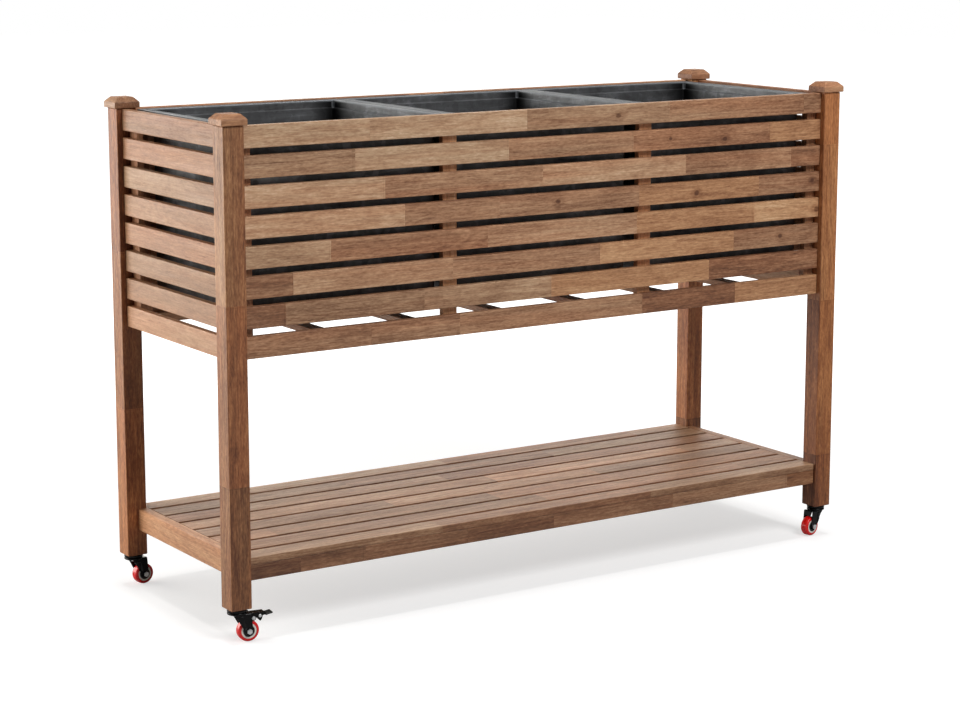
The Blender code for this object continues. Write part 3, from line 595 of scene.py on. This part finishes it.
def make_battens():
    """Make the upright battens inside the boards, and the ledgers that carry the bars."""
    frame_low, frame_high = box_of("front_frame")
    inner_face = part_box("front_board_1")[1][1] + CLEARANCE
    ledger_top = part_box("tray_bar_1")[0][2] - CLEARANCE
    ledger = (frame_low, (frame_high[0], inner_face + LEDGER_THICK, ledger_top))
    look = wood("ledger_wood", "X", SHELF, [(-0.2, "tan"), (0.23, "brown"), (0.57, "tan")], 41)
    timber("front_ledger", *ledger, INNER_ARRIS, look, "inner_wood", "front_frame")
    timber("back_ledger", *mirrored(*ledger, 1), INNER_ARRIS, look, "front_wood", "back_panel")
    pitch = (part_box("tray_right")[0][0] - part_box("tray_left")[0][0]) / 2
    middle = pitch / 2 + BATTEN_SHIFT
    reach = frame_high[0]
    half = BATTEN_WIDTH / 2
    spans = ((-reach, END_BATTEN - reach), (-middle - half, half - middle),
             (middle - half, middle + half), (reach - END_BATTEN, reach))
    foot = ledger_top + 0.0002
    middle_look = wood("batten_wood", "Z", UPRIGHT, [(0.8, "pale")], 42, gold=0.3)
    end_look = wood("corner_batten_wood", "Z", UPRIGHT, [(0.8, "brown")], 44, red=0.2)
    for number, (x0, x1) in enumerate(spans, start=1):
        look = middle_look if number in (2, 3) else end_look
        batten = ((x0, inner_face, foot), (x1, inner_face + BATTEN_THICK, frame_high[2]))
        timber(f"front_batten_{number}", *batten, FINE_ARRIS, look, "inner_wood", "front_frame")
        timber(f"back_batten_{number}", *mirrored(*batten, 1), FINE_ARRIS, look, "front_wood", "back_panel")
    panel_low, panel_high = box_of("right_panel")
    outer = panel_high[0] - BOARD_THICK - CLEARANCE
    reach = panel_high[1] - 0.001
    low = (outer - BATTEN_THICK, reach - BATTEN_WIDTH, panel_low[2] + 0.001)
    batten = (low, (outer, reach, frame_high[2]))
    look = wood("end_batten_wood", "Z", UPRIGHT, [(0.8, "tan")], 43)
    for name, stick in (("right_back", batten), ("right_front", mirrored(*batten, 1))):
        timber(name + "_batten", *stick, FINE_ARRIS, look, "side_wood", "right_panel")
        twin = name.replace("right", "left") + "_batten"
        timber(twin, *mirrored(*stick, 0), FINE_ARRIS, look, "side_wood", "left_panel")


def make_tray_bars():
    for i in range(6):
        node = f"tray_bar_{i + 1}"
        look = wood(node + "_wood", "Y", ACROSS, [(0.2, "brown" if i % 2 else "tan")], i + 51, red=0.2)
        timber(f"bar_{i + 1}", *box_of(node), INNER_ARRIS, look, "inner_wood", node)


# Each post's glued lengths from its foot up, with their tones; the side its layers meet on is listed below,
# and on three posts it parts painted light from painted shade
POST_STAVES = {
    "front_left": ((0.245, "russet"), (0.522, "brown"), (0.80, "tan")),
    "front_right": ((0.147, "ember"), (0.427, "soot"), (0.701, "umber"), (0.80, "brown")),
    "back_left": ((0.300, "chestnut"), (0.560, "russet"), (0.80, "umber")),
    "back_right": ((0.145, "soot"), (0.460, "russet"), (0.80, "brown")),
}
# How far in from its left face each post's layers meet, and how much darker the next layer is. On the back
# right post this is a glue line across its front face.
# On the other three posts it sits just inside the left corner, so the step paints one face apart from the
# other: painted shade on the front left and back left posts' fronts, against their lit left faces, and on the
# front right post's left face, set by its low stave tones, against a front lightened by the step.
POST_SEAMS_AND_SIDE_SHADE = {"front_left": (0.0012, 0.19), "front_right": (0.0012, -0.14), "back_left": (0.0012, 0.16),
              "back_right": (0.0168, 0.10)}
POST_GOLD = {"front_left": 0.6, "front_right": 0.9, "back_left": 0.9, "back_right": 0.9}


def make_posts():
    for number, (corner, staves) in enumerate(POST_STAVES.items()):
        node = "post_" + corner
        low, high = box_of(node)
        seam, step = POST_SEAMS_AND_SIDE_SHADE[corner]
        # seam and step paint the faces apart as painted light and shade, except on the back right post, where
        # they mark a glue line.
        look = wood(node + "_wood", "Z", (0.05, 0.80), staves, number + 61, strips=(low[0] + seam,),
                    step=step, red=0.15, gold=POST_GOLD[corner], depth=1.3)
        post = timber(f"{corner}_post", low, high, POST_ARRIS, look, "post_wood", node)
        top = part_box(f"castor_{corner}_stem")[1][2] + CLEARANCE
        rest()
        middle = ((low[0] + high[0]) / 2, (low[1] + high[1]) / 2, top - 0.03)
        bpy.ops.mesh.primitive_cylinder_add(vertices=32, radius=0.0053, depth=0.06, location=middle)
        carve(post, "DIFFERENCE", bpy.context.object)
        soften(post, 50)


def make_caps():
    """Make each cap: a block whose top is drawn in, with softened corners."""
    for number, corner in enumerate(POST_STAVES):
        node = "cap_" + corner
        low, high = box_of(node)
        size = [b - a for a, b in zip(low, high)]
        side = size[2] - CAP_CHAMFER
        middle = ((low[0] + high[0]) / 2, (low[1] + high[1]) / 2, low[2] + side / 2)
        cap = block((size[0], size[1], side), middle)
        cap.name = corner + "_cap"
        pick(cap, "FACE", lambda centre, normal: normal.z > 0.9)
        bpy.ops.mesh.extrude_region_move(TRANSFORM_OT_translate={"value": (0, 0, CAP_CHAMFER)})
        shrink = (size[0] - 2 * CAP_CHAMFER) / size[0]
        bpy.ops.transform.resize(value=(shrink, shrink, 1), center_override=middle)
        bpy.ops.mesh.select_all(action="SELECT")
        bpy.ops.mesh.bevel(offset=0.0011, segments=3, profile=0.5, affect="EDGES")
        soften(cap, 50)
        along = "Y" if corner == "back_left" else "X"
        tone = ("brown", "tan", "russet", "brown")[number]
        # The front left cap's negative end paints its end faces, its left and right sides, lighter than its
        # long grain: painted light on its lit left side.
        look = wood(node + "_wood", along, (-0.65, 0.65), [(0.65, tone)], number + 71, red=-0.1,
                    gold=0.3 if number in (0, 2) else 0.0, arc=4.0, figure=0.06,
                    end={"front_left": -0.12, "back_left": 0.20}.get(corner, 0.16))
        dress(cap, look, "root", "cap_wood", node)


def make_shelf():
    tones = ("tan", "brown", "tan", "brown", "tan", "brown", "tan", "honey")
    rail_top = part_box("shelf_slat_2")[0][2] - CLEARANCE
    frame_low, frame_high = box_of("shelf_frame")
    for i in range(8):
        node = f"shelf_slat_{i + 1}"
        low, high = box_of(node)
        second = tones[(i + 3) % 8]
        joint = 0.28 * math.sin(2.1 * i)
        staves = [(joint - 0.22, tones[i]), (joint + 0.2, second), (0.57, tones[i])]
        # edge paints shade on each slat's sawn sides where they face the gaps, less on the two edge slats.
        look = wood(node + "_wood", "X", SHELF, staves, i + 81, red=-0.15,
                    edge=0.15 if i in (0, 7) else 0.28)
        slat = timber(f"shelf_board_{i + 1}", low, high, FINE_ARRIS, look, "shelf_wood", node)
        if i in (0, 7):
            notch_edge_slat(slat, frame_high)
    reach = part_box("shelf_slat_1")[1][0]
    inner = frame_high[1] - RAIL_THICK
    rail = ((-reach, inner, frame_low[2]), (reach, frame_high[1], rail_top))
    staves = [(-0.48, "dusk", "plain"), (-0.365, "soot", "plain"), (-0.17, "umber", "plain"),
              (0.0, "soot", "plain"), (0.245, "umber", "plain"), (0.50, "russet", "plain"),
              (0.57, "umber", "gold")]
    look = wood("shelf_rail_wood", "X", SHELF, staves, 91, red=-0.15)
    timber("back_shelf_rail", *rail, BOARD_ARRIS, look, "shelf_wood", "shelf_frame")
    timber("front_shelf_rail", *mirrored(*rail, 1), BOARD_ARRIS, look, "shelf_wood", "shelf_frame")
    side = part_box("left_panel")[1][1]
    end = ((frame_high[0] - END_RAIL_THICK, -side, frame_low[2]), (frame_high[0], side, frame_high[2]))
    look = wood("right_shelf_end_wood", "Y", ACROSS, [(0.2, "brown")], 94, arc=1.4)
    timber("right_shelf_rail", *end, BOARD_ARRIS, look, "shelf_wood", "shelf_frame")
    look = wood("left_shelf_end_wood", "Y", ACROSS, [(0.2, "honey")], 92, gold=0.35, arc=1.4)
    timber("left_shelf_rail", *mirrored(*end, 0), BOARD_ARRIS, look, "shelf_wood", "shelf_frame")
    look = wood("bearer_wood", "Y", ACROSS, [(0.2, "tan")], 93)
    last = end[0][0] - CLEARANCE - BEARER_WIDTH / 2
    for number, place in enumerate((-1, -0.5, 0, 0.5, 1), start=1):
        x = place * last
        bearer = ((x - BEARER_WIDTH / 2, CLEARANCE - inner, rail_top - BEARER_HEIGHT),
                  (x + BEARER_WIDTH / 2, inner - CLEARANCE, rail_top))
        timber(f"shelf_bearer_{number}", *bearer, INNER_ARRIS, look, "shelf_wood", "shelf_frame")


def notch_edge_slat(slat, frame_high):
    """Cut an edge slat's ends round the shelf's end rails."""
    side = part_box("left_panel")[1][1] + CLEARANCE
    inner = frame_high[0] - END_RAIL_THICK - CLEARANCE
    for sign in (-1, 1):
        tool = block((0.04, 2 * side, 0.06), (sign * (inner + 0.02), 0, frame_high[2]))
        carve(slat, "DIFFERENCE", tool)
    soften(slat, 50)


# Trays

# A tray's underside from its floor up and out: inset from its outer edge, and height under its rim
TRAY_RINGS = ((0.021, None), (0.021, -0.0145), (0.0162, -0.0128), (0.0162, -0.0020), (0.0156, -0.0010),
              (0.0136, -0.0010), (0.0128, -0.0018), (0.0046, -0.0018), (0.0038, -0.0010), (0.0016, -0.0010),
              (0.0010, -0.0016), (0.0010, -0.0040))


def make_tray(name):
    """Fold a tray from one sheet: each ring of edges is drawn out from the one before."""
    node = "tray_" + name
    low, high = box_of(node)
    x, y = (low[0] + high[0]) / 2, (low[1] + high[1]) / 2
    half = ((high[0] - low[0]) / 2, (high[1] - low[1]) / 2)
    rings = [(half[0] - inset, half[1] - inset, low[2] if drop is None else high[2] + drop)
             for inset, drop in TRAY_RINGS]
    rest()
    bpy.ops.mesh.primitive_plane_add(size=2, location=(x, y, rings[0][2]))
    tray = bpy.context.object
    tray.name = name + "_tray"
    tray.scale = (rings[0][0], rings[0][1], 1)
    apply_place(tray)
    bpy.ops.object.mode_set(mode="EDIT")
    bpy.ops.mesh.select_mode(type="EDGE")
    bpy.ops.mesh.select_all(action="SELECT")
    for before, ring in zip(rings, rings[1:]):
        bpy.ops.mesh.extrude_edges_move(TRANSFORM_OT_translate={"value": (0, 0, ring[2] - before[2])})
        stretch = (ring[0] / before[0], ring[1] / before[1], 1)
        bpy.ops.transform.resize(value=stretch, center_override=(x, y, ring[2]))
    bpy.ops.mesh.select_all(action="SELECT")
    bpy.ops.mesh.normals_make_consistent(inside=False)
    rim = high[2] - 0.002
    pick(tray, "EDGE", lambda middle, direction: abs(direction.z) > 0.5 and middle.z < rim)
    bpy.ops.mesh.bevel(offset=0.0035, segments=4, profile=0.5, affect="EDGES")
    rest()
    apply_modifier(tray, "SOLIDIFY", thickness=0.001, offset=-1, use_even_offset=True)
    ease(tray, 0.0003, 2, 30)
    soften(tray, 40)
    dress(tray, zinc(name + "_zinc_sheet", x, half), node, "tray_zinc", node)


# Castor pieces, each made once in the castor's own frame

def turned_ring(name, inner, outer, low, high, rounding, vertices=64, segments=4):
    """Turn a ring about Z: a disc, bored by bridging its two faces, with rounded rims."""
    ring = rod(outer, low, high, vertices)
    ring.name = name
    pick(ring, "FACE", lambda centre, normal: abs(normal.z) > 0.9)
    bpy.ops.mesh.inset(thickness=outer - inner)
    bpy.ops.mesh.bridge_edge_loops()
    if rounding:
        reach = (outer + inner) / 2
        pick(ring, "EDGE", lambda middle, direction: middle.xy.length > reach and abs(direction.z) < 0.1
             and abs(middle.xy.normalized().dot(direction.xy)) < 0.5)
        bpy.ops.mesh.bevel(offset=rounding, segments=segments, profile=0.5, affect="EDGES")
    rest()
    return ring


def laid_on_axle(obj):
    """Turn a piece from Z to the axle's direction and put it on the axle."""
    obj.data.transform(Matrix.Translation((TRAIL, 0, WHEEL_RADIUS)) @ Matrix.Rotation(math.pi / 2, 4, "X"))
    return obj


def tyre_piece():
    tyre = turned_ring("tyre", WHEEL_RADIUS - 0.0045, WHEEL_RADIUS, -WHEEL_HALF, WHEEL_HALF, 0.0036, 72, 6)
    soften(tyre, 40)
    return laid_on_axle(tyre)


def core_piece():
    """Make the wheel's moulded core, with a recess in each face for the hub cover."""
    half = WHEEL_HALF - 0.0002
    core = turned_ring("core", HUB_RADIUS + 0.0002, CORE_RADIUS, -half, half, 0, 64)
    ease(core, 0.0005, 2)
    hub = turned_ring("hub", 0.0028, HUB_RADIUS + 0.0006, 0.0016 - half, half - 0.0016, 0, 64)
    carve(core, "UNION", hub)
    soften(core, 40)
    return laid_on_axle(core)


def cover_piece(side):
    """Make a hub cover: a dished disc with a raised rim and a boss round the bolt."""
    half = WHEEL_HALF - 0.0002
    low, high = half - 0.0015, WHEEL_HALF + 0.0002
    cover = turned_ring("cover", 0.0028, HUB_RADIUS - 0.0001, low, high, 0.0004, 64, 2)
    pick(cover, "FACE", lambda centre, normal: normal.z > 0.9)
    bpy.ops.mesh.inset(thickness=0.0012)
    bpy.ops.mesh.extrude_region_move(TRANSFORM_OT_translate={"value": (0, 0, -0.0007)})
    rest()
    ease(cover, 0.0002, 2)
    soften(cover, 40)
    if side < 0:
        cover.data.transform(Matrix.Rotation(math.pi, 4, "X"))
    return laid_on_axle(cover)


def axle_piece():
    """Make the axle bolt, with a chamfered six-sided head and a nut with a domed end."""
    seat = FORK_OUTER + CLEARANCE
    axle = rod(AXLE_RADIUS, -seat - 0.0026, seat + 0.0026)
    axle.name = "axle"
    pick(axle, "EDGE", lambda middle, direction: abs(middle.z) > seat and abs(direction.z) < 0.1)
    bpy.ops.mesh.bevel(offset=0.0007, segments=3, affect="EDGES")
    for low in (-seat - HEAD_HEIGHT, seat):
        head = rod(AXLE_HEAD, low, low + HEAD_HEIGHT, 6)
        ease(head, 0.0004, 2, 20)
        carve(axle, "UNION", head)
    soften(axle, 35)
    return laid_on_axle(axle)


def flat_plate(name, outline, thick, holes=()):
    """Make a plate in the XY plane from an outline and round holes, as a filled curve."""
    curve = bpy.data.curves.new(name, "CURVE")
    curve.dimensions = "2D"
    curve.fill_mode = "BOTH"
    curve.extrude = thick / 2
    loops = [outline] + [[(x + r * math.cos(a), y + r * math.sin(a))
                          for a in (math.tau * i / 24 for i in range(24))] for x, y, r in holes]
    for loop in loops:
        spline = curve.splines.new("POLY")
        spline.points.add(len(loop) - 1)
        for point, (x, y) in zip(spline.points, loop):
            point.co = (x, y, 0, 1)
        spline.use_cyclic_u = True
    obj = bpy.data.objects.new(name, curve)
    bpy.context.scene.collection.objects.link(obj)
    take(obj)
    bpy.ops.object.convert(target="MESH")
    obj = bpy.context.object
    bpy.ops.object.mode_set(mode="EDIT")
    bpy.ops.mesh.select_all(action="SELECT")
    bpy.ops.mesh.remove_doubles(threshold=0.000005)
    rest()
    return obj


def arc(centre, radius, start, end, steps):
    angles = [math.radians(start + (end - start) * i / steps) for i in range(steps + 1)]
    return [(centre[0] + radius * math.cos(a), centre[1] + radius * math.sin(a)) for a in angles]


def fork_piece(brake):
    """Press a fork from sheet: its side outline, cut from a channel with rounded shoulders."""
    axle = (TRAIL, WHEEL_RADIUS)
    side = [(-0.0062, BRIDGE_TOP), (-0.0062, 0.0425)] + arc((-0.0112, 0.0318), 0.0108, 72, 30, 6)
    side += arc(axle, 0.006, 200, 350, 12)
    if brake:
        side += arc(PIVOT, PIVOT_BOSS, -120, 80, 14)
    side += [(TRAIL + 0.0033, BRIDGE_UNDERSIDE - 0.0003), (TRAIL + 0.0033, BRIDGE_TOP)]
    holes = [(*axle, 0.0028)] + ([(*PIVOT, 0.0018)] if brake else [])
    fork = flat_plate("fork", side, 0.06, holes)
    fork.data.transform(Matrix.Rotation(math.pi / 2, 4, "X"))
    outline = fork.copy()
    outline.data = fork.data.copy()
    bpy.context.scene.collection.objects.link(outline)
    outer, inner, top, under = FORK_OUTER, FORK_INNER, BRIDGE_TOP, BRIDGE_UNDERSIDE
    channel = [(-outer, 0.0), (-inner, 0.0)] + arc((0.0012 - inner, under - 0.0012), 0.0012, 180, 90, 4)
    channel += arc((inner - 0.0012, under - 0.0012), 0.0012, 90, 0, 4) + [(inner, 0.0), (outer, 0.0)]
    channel += arc((outer - 0.0028, top - 0.0028), 0.0028, 0, 90, 6)
    channel += arc((0.0028 - outer, top - 0.0028), 0.0028, 90, 180, 6)
    section = flat_plate("channel", channel, 0.09)
    section.data.transform(Matrix.Rotation(math.pi / 2, 4, "Z") @ Matrix.Rotation(math.pi / 2, 4, "X"))
    carve(fork, "INTERSECT", section)
    rib = block((0.0058, 2 * FORK_OUTER + 0.0018, 0.0225), (0.0044, 0, 0.0305))
    ease(rib, 0.0012, 4, 20)
    carve(rib, "INTERSECT", outline)
    hollow = block((0.02, 2 * FORK_INNER + 0.0006, 0.05), (0.0044, 0, 0.03))
    carve(rib, "DIFFERENCE", hollow)
    carve(fork, "UNION", rib)
    race = turned_ring("lower_race", 0.0033, RACE_RADIUS, BRIDGE_TOP - 0.0012, 0.0484, 0.0014, 64, 4)
    carve(fork, "UNION", race)
    carve(fork, "DIFFERENCE", rod(0.0033, BRIDGE_TOP - 0.015, BRIDGE_TOP + 0.015))
    ease(fork, 0.00025, 2, 40)
    soften(fork, 40)
    fork.name = "fork"
    return fork


def upper_race_piece():
    race = turned_ring("upper_race", 0.005, RACE_RADIUS, 0.0487, 0.0534, 0.0016, 64, 4)
    soften(race, 40)
    return race


def kingpin_piece(top):
    """Turn the stem and its riveted end: a cylinder with wider and rounded stretches."""
    pin = rod(0.003, 0.041, 0.0485)
    pin.name = "kingpin"
    for radius, low, high, rounding in ((0.0049, 0.0484, top, 0.0010), (0.0048, 0.0406, 0.0434, 0.0011)):
        part = rod(radius, low, high)
        end = high if low > BRIDGE_TOP else low
        pick(part, "EDGE", lambda middle, direction: abs(middle.z - end) < 0.0001)
        bpy.ops.mesh.bevel(offset=rounding, segments=3, affect="EDGES")
        rest()
        carve(pin, "UNION", part)
    soften(pin, 35)
    return pin


def lever_piece():
    """Make the brake lever's stamped arm, with its shoe and an eased outline."""
    side = [(-0.003, 0.007), (-0.003, 0.0)] + arc((0, 0), 0.003, 190, 315, 8)
    side += [(0.0063, 0.0), (LINK[0] - 0.0026, -0.0042), (LINK[0], -0.0068), (LINK[0] + 0.0026, -0.0042)]
    side += [(LINK[0] + 0.0044, LINK[1]), (0.019, 0.0024), (0.0225, 0.0008), (0.0225, 0.0038), (0.019, 0.007)]
    lever = flat_plate("lever", side, 0.0146, [(0, 0, 0.0016)])
    lever.data.transform(Matrix.Rotation(math.pi / 2, 4, "X"))
    ease(lever, 0.0006, 2, 25)
    soften(lever, 40)
    lever.data.transform(Matrix.Translation((PIVOT[0], 0, PIVOT[1])))
    return lever


def pedal_piece():
    """Make the ribbed pad that a foot presses."""
    pad = block((0.0115, 0.016, 0.0024))
    pad.name = "pedal"
    bpy.ops.object.mode_set(mode="EDIT")
    bpy.ops.mesh.select_all(action="SELECT")
    bpy.ops.mesh.bevel(offset=0.0008, segments=3, affect="EDGES")
    for i in range(4):
        groove = block((0.0009, 0.02, 0.0008), (0.0028 * i - 0.0042, 0, 0.0013))
        carve(pad, "DIFFERENCE", groove)
    tilt = math.radians(10)
    ahead = 0.019 + 0.00175 + 0.00575 * math.cos(tilt)
    up = 0.007 - 0.0032 + 0.00575 * math.sin(tilt) - 0.0012
    place = Matrix.Translation((PIVOT[0] + ahead, 0, PIVOT[1] + up)) @ Matrix.Rotation(-tilt, 4, "Y")
    pad.data.transform(place)
    soften(pad, 35)
    return pad


def pin_piece(place, radius, head, reach, dome):
    """Make a rivet across the lever, with a domed head on each side."""
    pin = rod(radius, -reach, reach, 24)
    pin.name = "pin"
    for sign in (-1, 1):
        low = reach - dome if sign > 0 else -reach
        part = rod(head, low, low + dome, 24)
        pick(part, "EDGE", lambda middle, direction: sign * middle.z > reach - 0.0001)
        bpy.ops.mesh.bevel(offset=dome * 0.7, segments=3, affect="EDGES")
        rest()
        carve(pin, "UNION", part)
    soften(pin, 40)
    pin.data.transform(Matrix.Translation((place[0], 0, place[1])) @ Matrix.Rotation(math.pi / 2, 4, "X"))
    return pin


def place_copy(piece, name, place, material, body, slot, node):
    """Copy a piece with its own mesh, put the mesh in its place, and dress it."""
    twin = piece.copy()
    twin.data = piece.data.copy()
    twin.name = name
    bpy.context.scene.collection.objects.link(twin)
    twin.data.transform(place)
    dress(twin, material, body, slot, node)


def make_castors():
    enamel, steel, red = gloss_black(), bright_steel(), red_rubber()
    creams = [(0.25, srgb(246, 240, 226)), (0.75, srgb(254, 252, 246))]
    cream = plastic("cream_nylon", 1100.0, creams, (0.34, 0.5), 0.00005, 0.5)
    blacks = [(0.3, srgb(16, 19, 18)), (0.7, srgb(34, 38, 36))]
    hub_black = plastic("black_hub_plastic", 700.0, blacks, (0.22, 0.36), 0.00006, 0.6)
    pad_black = plastic("black_pad_rubber", 1500.0, blacks, (0.42, 0.56), 0.00006, 0.6)
    stem_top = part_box("castor_front_left_stem")[1][2]
    kit = {"fork": fork_piece(False), "brake_fork": fork_piece(True), "upper_race": upper_race_piece(),
           "kingpin": kingpin_piece(stem_top), "axle": axle_piece(), "tyre": tyre_piece(),
           "core": core_piece(), "cover_a": cover_piece(1), "cover_b": cover_piece(-1),
           "lever": lever_piece(), "pedal": pedal_piece(),
           "pivot_pin": pin_piece(PIVOT, 0.0014, 0.003, FORK_OUTER + 0.0016, 0.0013),
           "link_pin": pin_piece((PIVOT[0] + LINK[0], PIVOT[1] + LINK[1]), 0.0014, 0.0027, 0.0085, 0.0012)}
    for corner, heading in HEADINGS.items():
        low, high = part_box("post_" + corner)
        centre = ((low[0] + high[0]) / 2, (low[1] + high[1]) / 2, 0)
        place = Matrix.Translation(centre) @ Matrix.Rotation(math.radians(heading), 4, "Z")
        node = f"castor_{corner}_"
        swivel, wheel, brake = corner + "_swivel", corner + "_wheel", corner + "_brake"
        braked = corner in BRAKED
        parts = [("upper_race", enamel, "root", "castor_black", "stem"),
                 ("kingpin", steel, "root", "castor_black", "stem"),
                 ("brake_fork" if braked else "fork", enamel, swivel, "castor_black", "fork"),
                 ("axle", steel, swivel, "bright_steel", "axle"),
                 ("tyre", red, wheel, "tyre_red", "tyre"),
                 ("core", cream, wheel, "wheel_cream", "wheel"),
                 ("cover_a", hub_black, wheel, "wheel_cream", "wheel"),
                 ("cover_b", hub_black, wheel, "wheel_cream", "wheel")]
        if braked:
            parts += [("lever", enamel, brake, "castor_black", "brake_lever"),
                      ("pedal", pad_black, brake, "castor_black", "brake_lever"),
                      ("pivot_pin", steel, brake, "castor_black", "brake_lever"),
                      ("link_pin", steel, brake, "castor_black", "brake_lever")]
        for role, material, body, slot, piece_node in parts:
            name = f"{corner}_{role}".replace("brake_fork", "fork")
            place_copy(kit[role], name, place, material, body, slot, node + piece_node)
    for piece in kit.values():
        bpy.data.objects.remove(piece, do_unlink=True)


# Studio

def make_floor():
    """Make a white floor that shows the planter's soft shadow and is plain white further out."""
    rest()
    bpy.ops.mesh.primitive_plane_add(size=24, location=(0, 4, 0))
    floor = bpy.context.object
    floor.name = "floor"
    apply_place(floor)
    paint = Paint("studio_floor")
    seen = paint.node("LightPath").outputs["Is Camera Ray"]
    place = paint.node("VectorMath", {0: paint.node("TexCoord").outputs["Object"]}, operation="LENGTH")
    paint.set(Roughness=0.9, Specular_IOR_Level=0.0)
    shades = {"Value": seen, "To Min": FLOOR_BOUNCE, "To Max": FLOOR_SHADE}
    shade = paint.node("MapRange", shades).outputs["Result"]
    grey = paint.node("CombineXYZ", {0: shade, 1: shade, 2: shade}).outputs[0]
    paint.colour(grey)
    near, far = FLOOR_FADE
    glow = paint.remap(place.outputs["Value"], near, far, FLOOR_GLOW, 1.0, smooth=True)
    glow = paint.math("MULTIPLY", seen, glow)
    glow = paint.node("Emission", {"Color": (1, 1, 1, 1), "Strength": glow})
    both = paint.node("AddShader", {0: paint.shader.outputs[0], 1: glow.outputs[0]})
    paint.tree.links.new(both.outputs[0], paint.tree.nodes["Material Output"].inputs["Surface"])
    floor.data.materials.append(paint.material)


def area_light(name, place, target, size, power, colour=(1, 1, 1)):
    data = bpy.data.lights.new(name, "AREA")
    data.shape = "RECTANGLE"
    data.size, data.size_y = size
    data.energy = power
    data.color = colour
    obj = bpy.data.objects.new(name, data)
    bpy.context.scene.collection.objects.link(obj)
    obj.location = place
    obj.rotation_euler = (Vector(target) - Vector(place)).to_track_quat("-Z", "Y").to_euler()
    obj.visible_camera = False


def make_studio():
    scene = bpy.context.scene
    world = bpy.data.worlds.new("studio")
    scene.world = world
    world.use_nodes = True
    nodes, links = world.node_tree.nodes, world.node_tree.links
    background = nodes["Background"]
    background.inputs["Color"].default_value = (1, 1, 1, 1)
    seen = nodes.new("ShaderNodeLightPath")
    dim = nodes.new("ShaderNodeMapRange")
    dim.inputs["To Min"].default_value = 0.08
    dim.inputs["To Max"].default_value = 0.22
    links.new(seen.outputs["Is Glossy Ray"], dim.inputs["Value"])
    strength = nodes.new("ShaderNodeMath")
    strength.operation = "MAXIMUM"
    links.new(seen.outputs["Is Camera Ray"], strength.inputs[0])
    links.new(dim.outputs["Result"], strength.inputs[1])
    links.new(strength.outputs[0], background.inputs["Strength"])
    area_light("left_softbox", (-2.35, 1.9, 1.05), (0, 0, 0.45), (3.2, 2.2), 86, (1.0, 0.985, 0.94))
    area_light("low_left_softbox", (-1.75, 3.3, 0.8), (-0.6, 0, 0.5), (2.2, 1.5), 17, (1.0, 0.98, 0.94))
    area_light("back_softbox", (1.9, 3.2, 1.1), (0, 0, 0.3), (3.0, 1.8), 43, (1.0, 0.97, 0.91))
    top = bpy.data.lights.new("top_lamp", "SUN")
    top.energy = 1.15
    top.angle = math.radians(6)
    scene.collection.objects.link(bpy.data.objects.new("top_lamp", top))
    area_light("front_softbox", (0.5, -3.1, 3.2), (0, 0, 0.4), (2.2, 1.4), 98)
    scene.view_settings.view_transform = "Standard"


def make_camera():
    data = bpy.data.cameras.new("camera")
    data.lens = CAMERA_LENS
    data.sensor_width = 36.0
    data.shift_y = CAMERA_SHIFT
    data.clip_start, data.clip_end = 0.05, 60
    camera = bpy.data.objects.new("camera", data)
    bpy.context.scene.collection.objects.link(camera)
    camera.location = CAMERA_PLACE
    camera.rotation_euler = (math.radians(90 + CAMERA_PITCH), 0, -math.radians(CAMERA_YAW))
    bpy.context.scene.camera = camera


make_camera()
make_studio()
make_floor()
make_long_boards()
make_end_boards()
make_battens()
make_tray_bars()
make_posts()
make_caps()
make_shelf()
for tray_name in ("left", "middle", "right"):
    make_tray(tray_name)
make_castors()
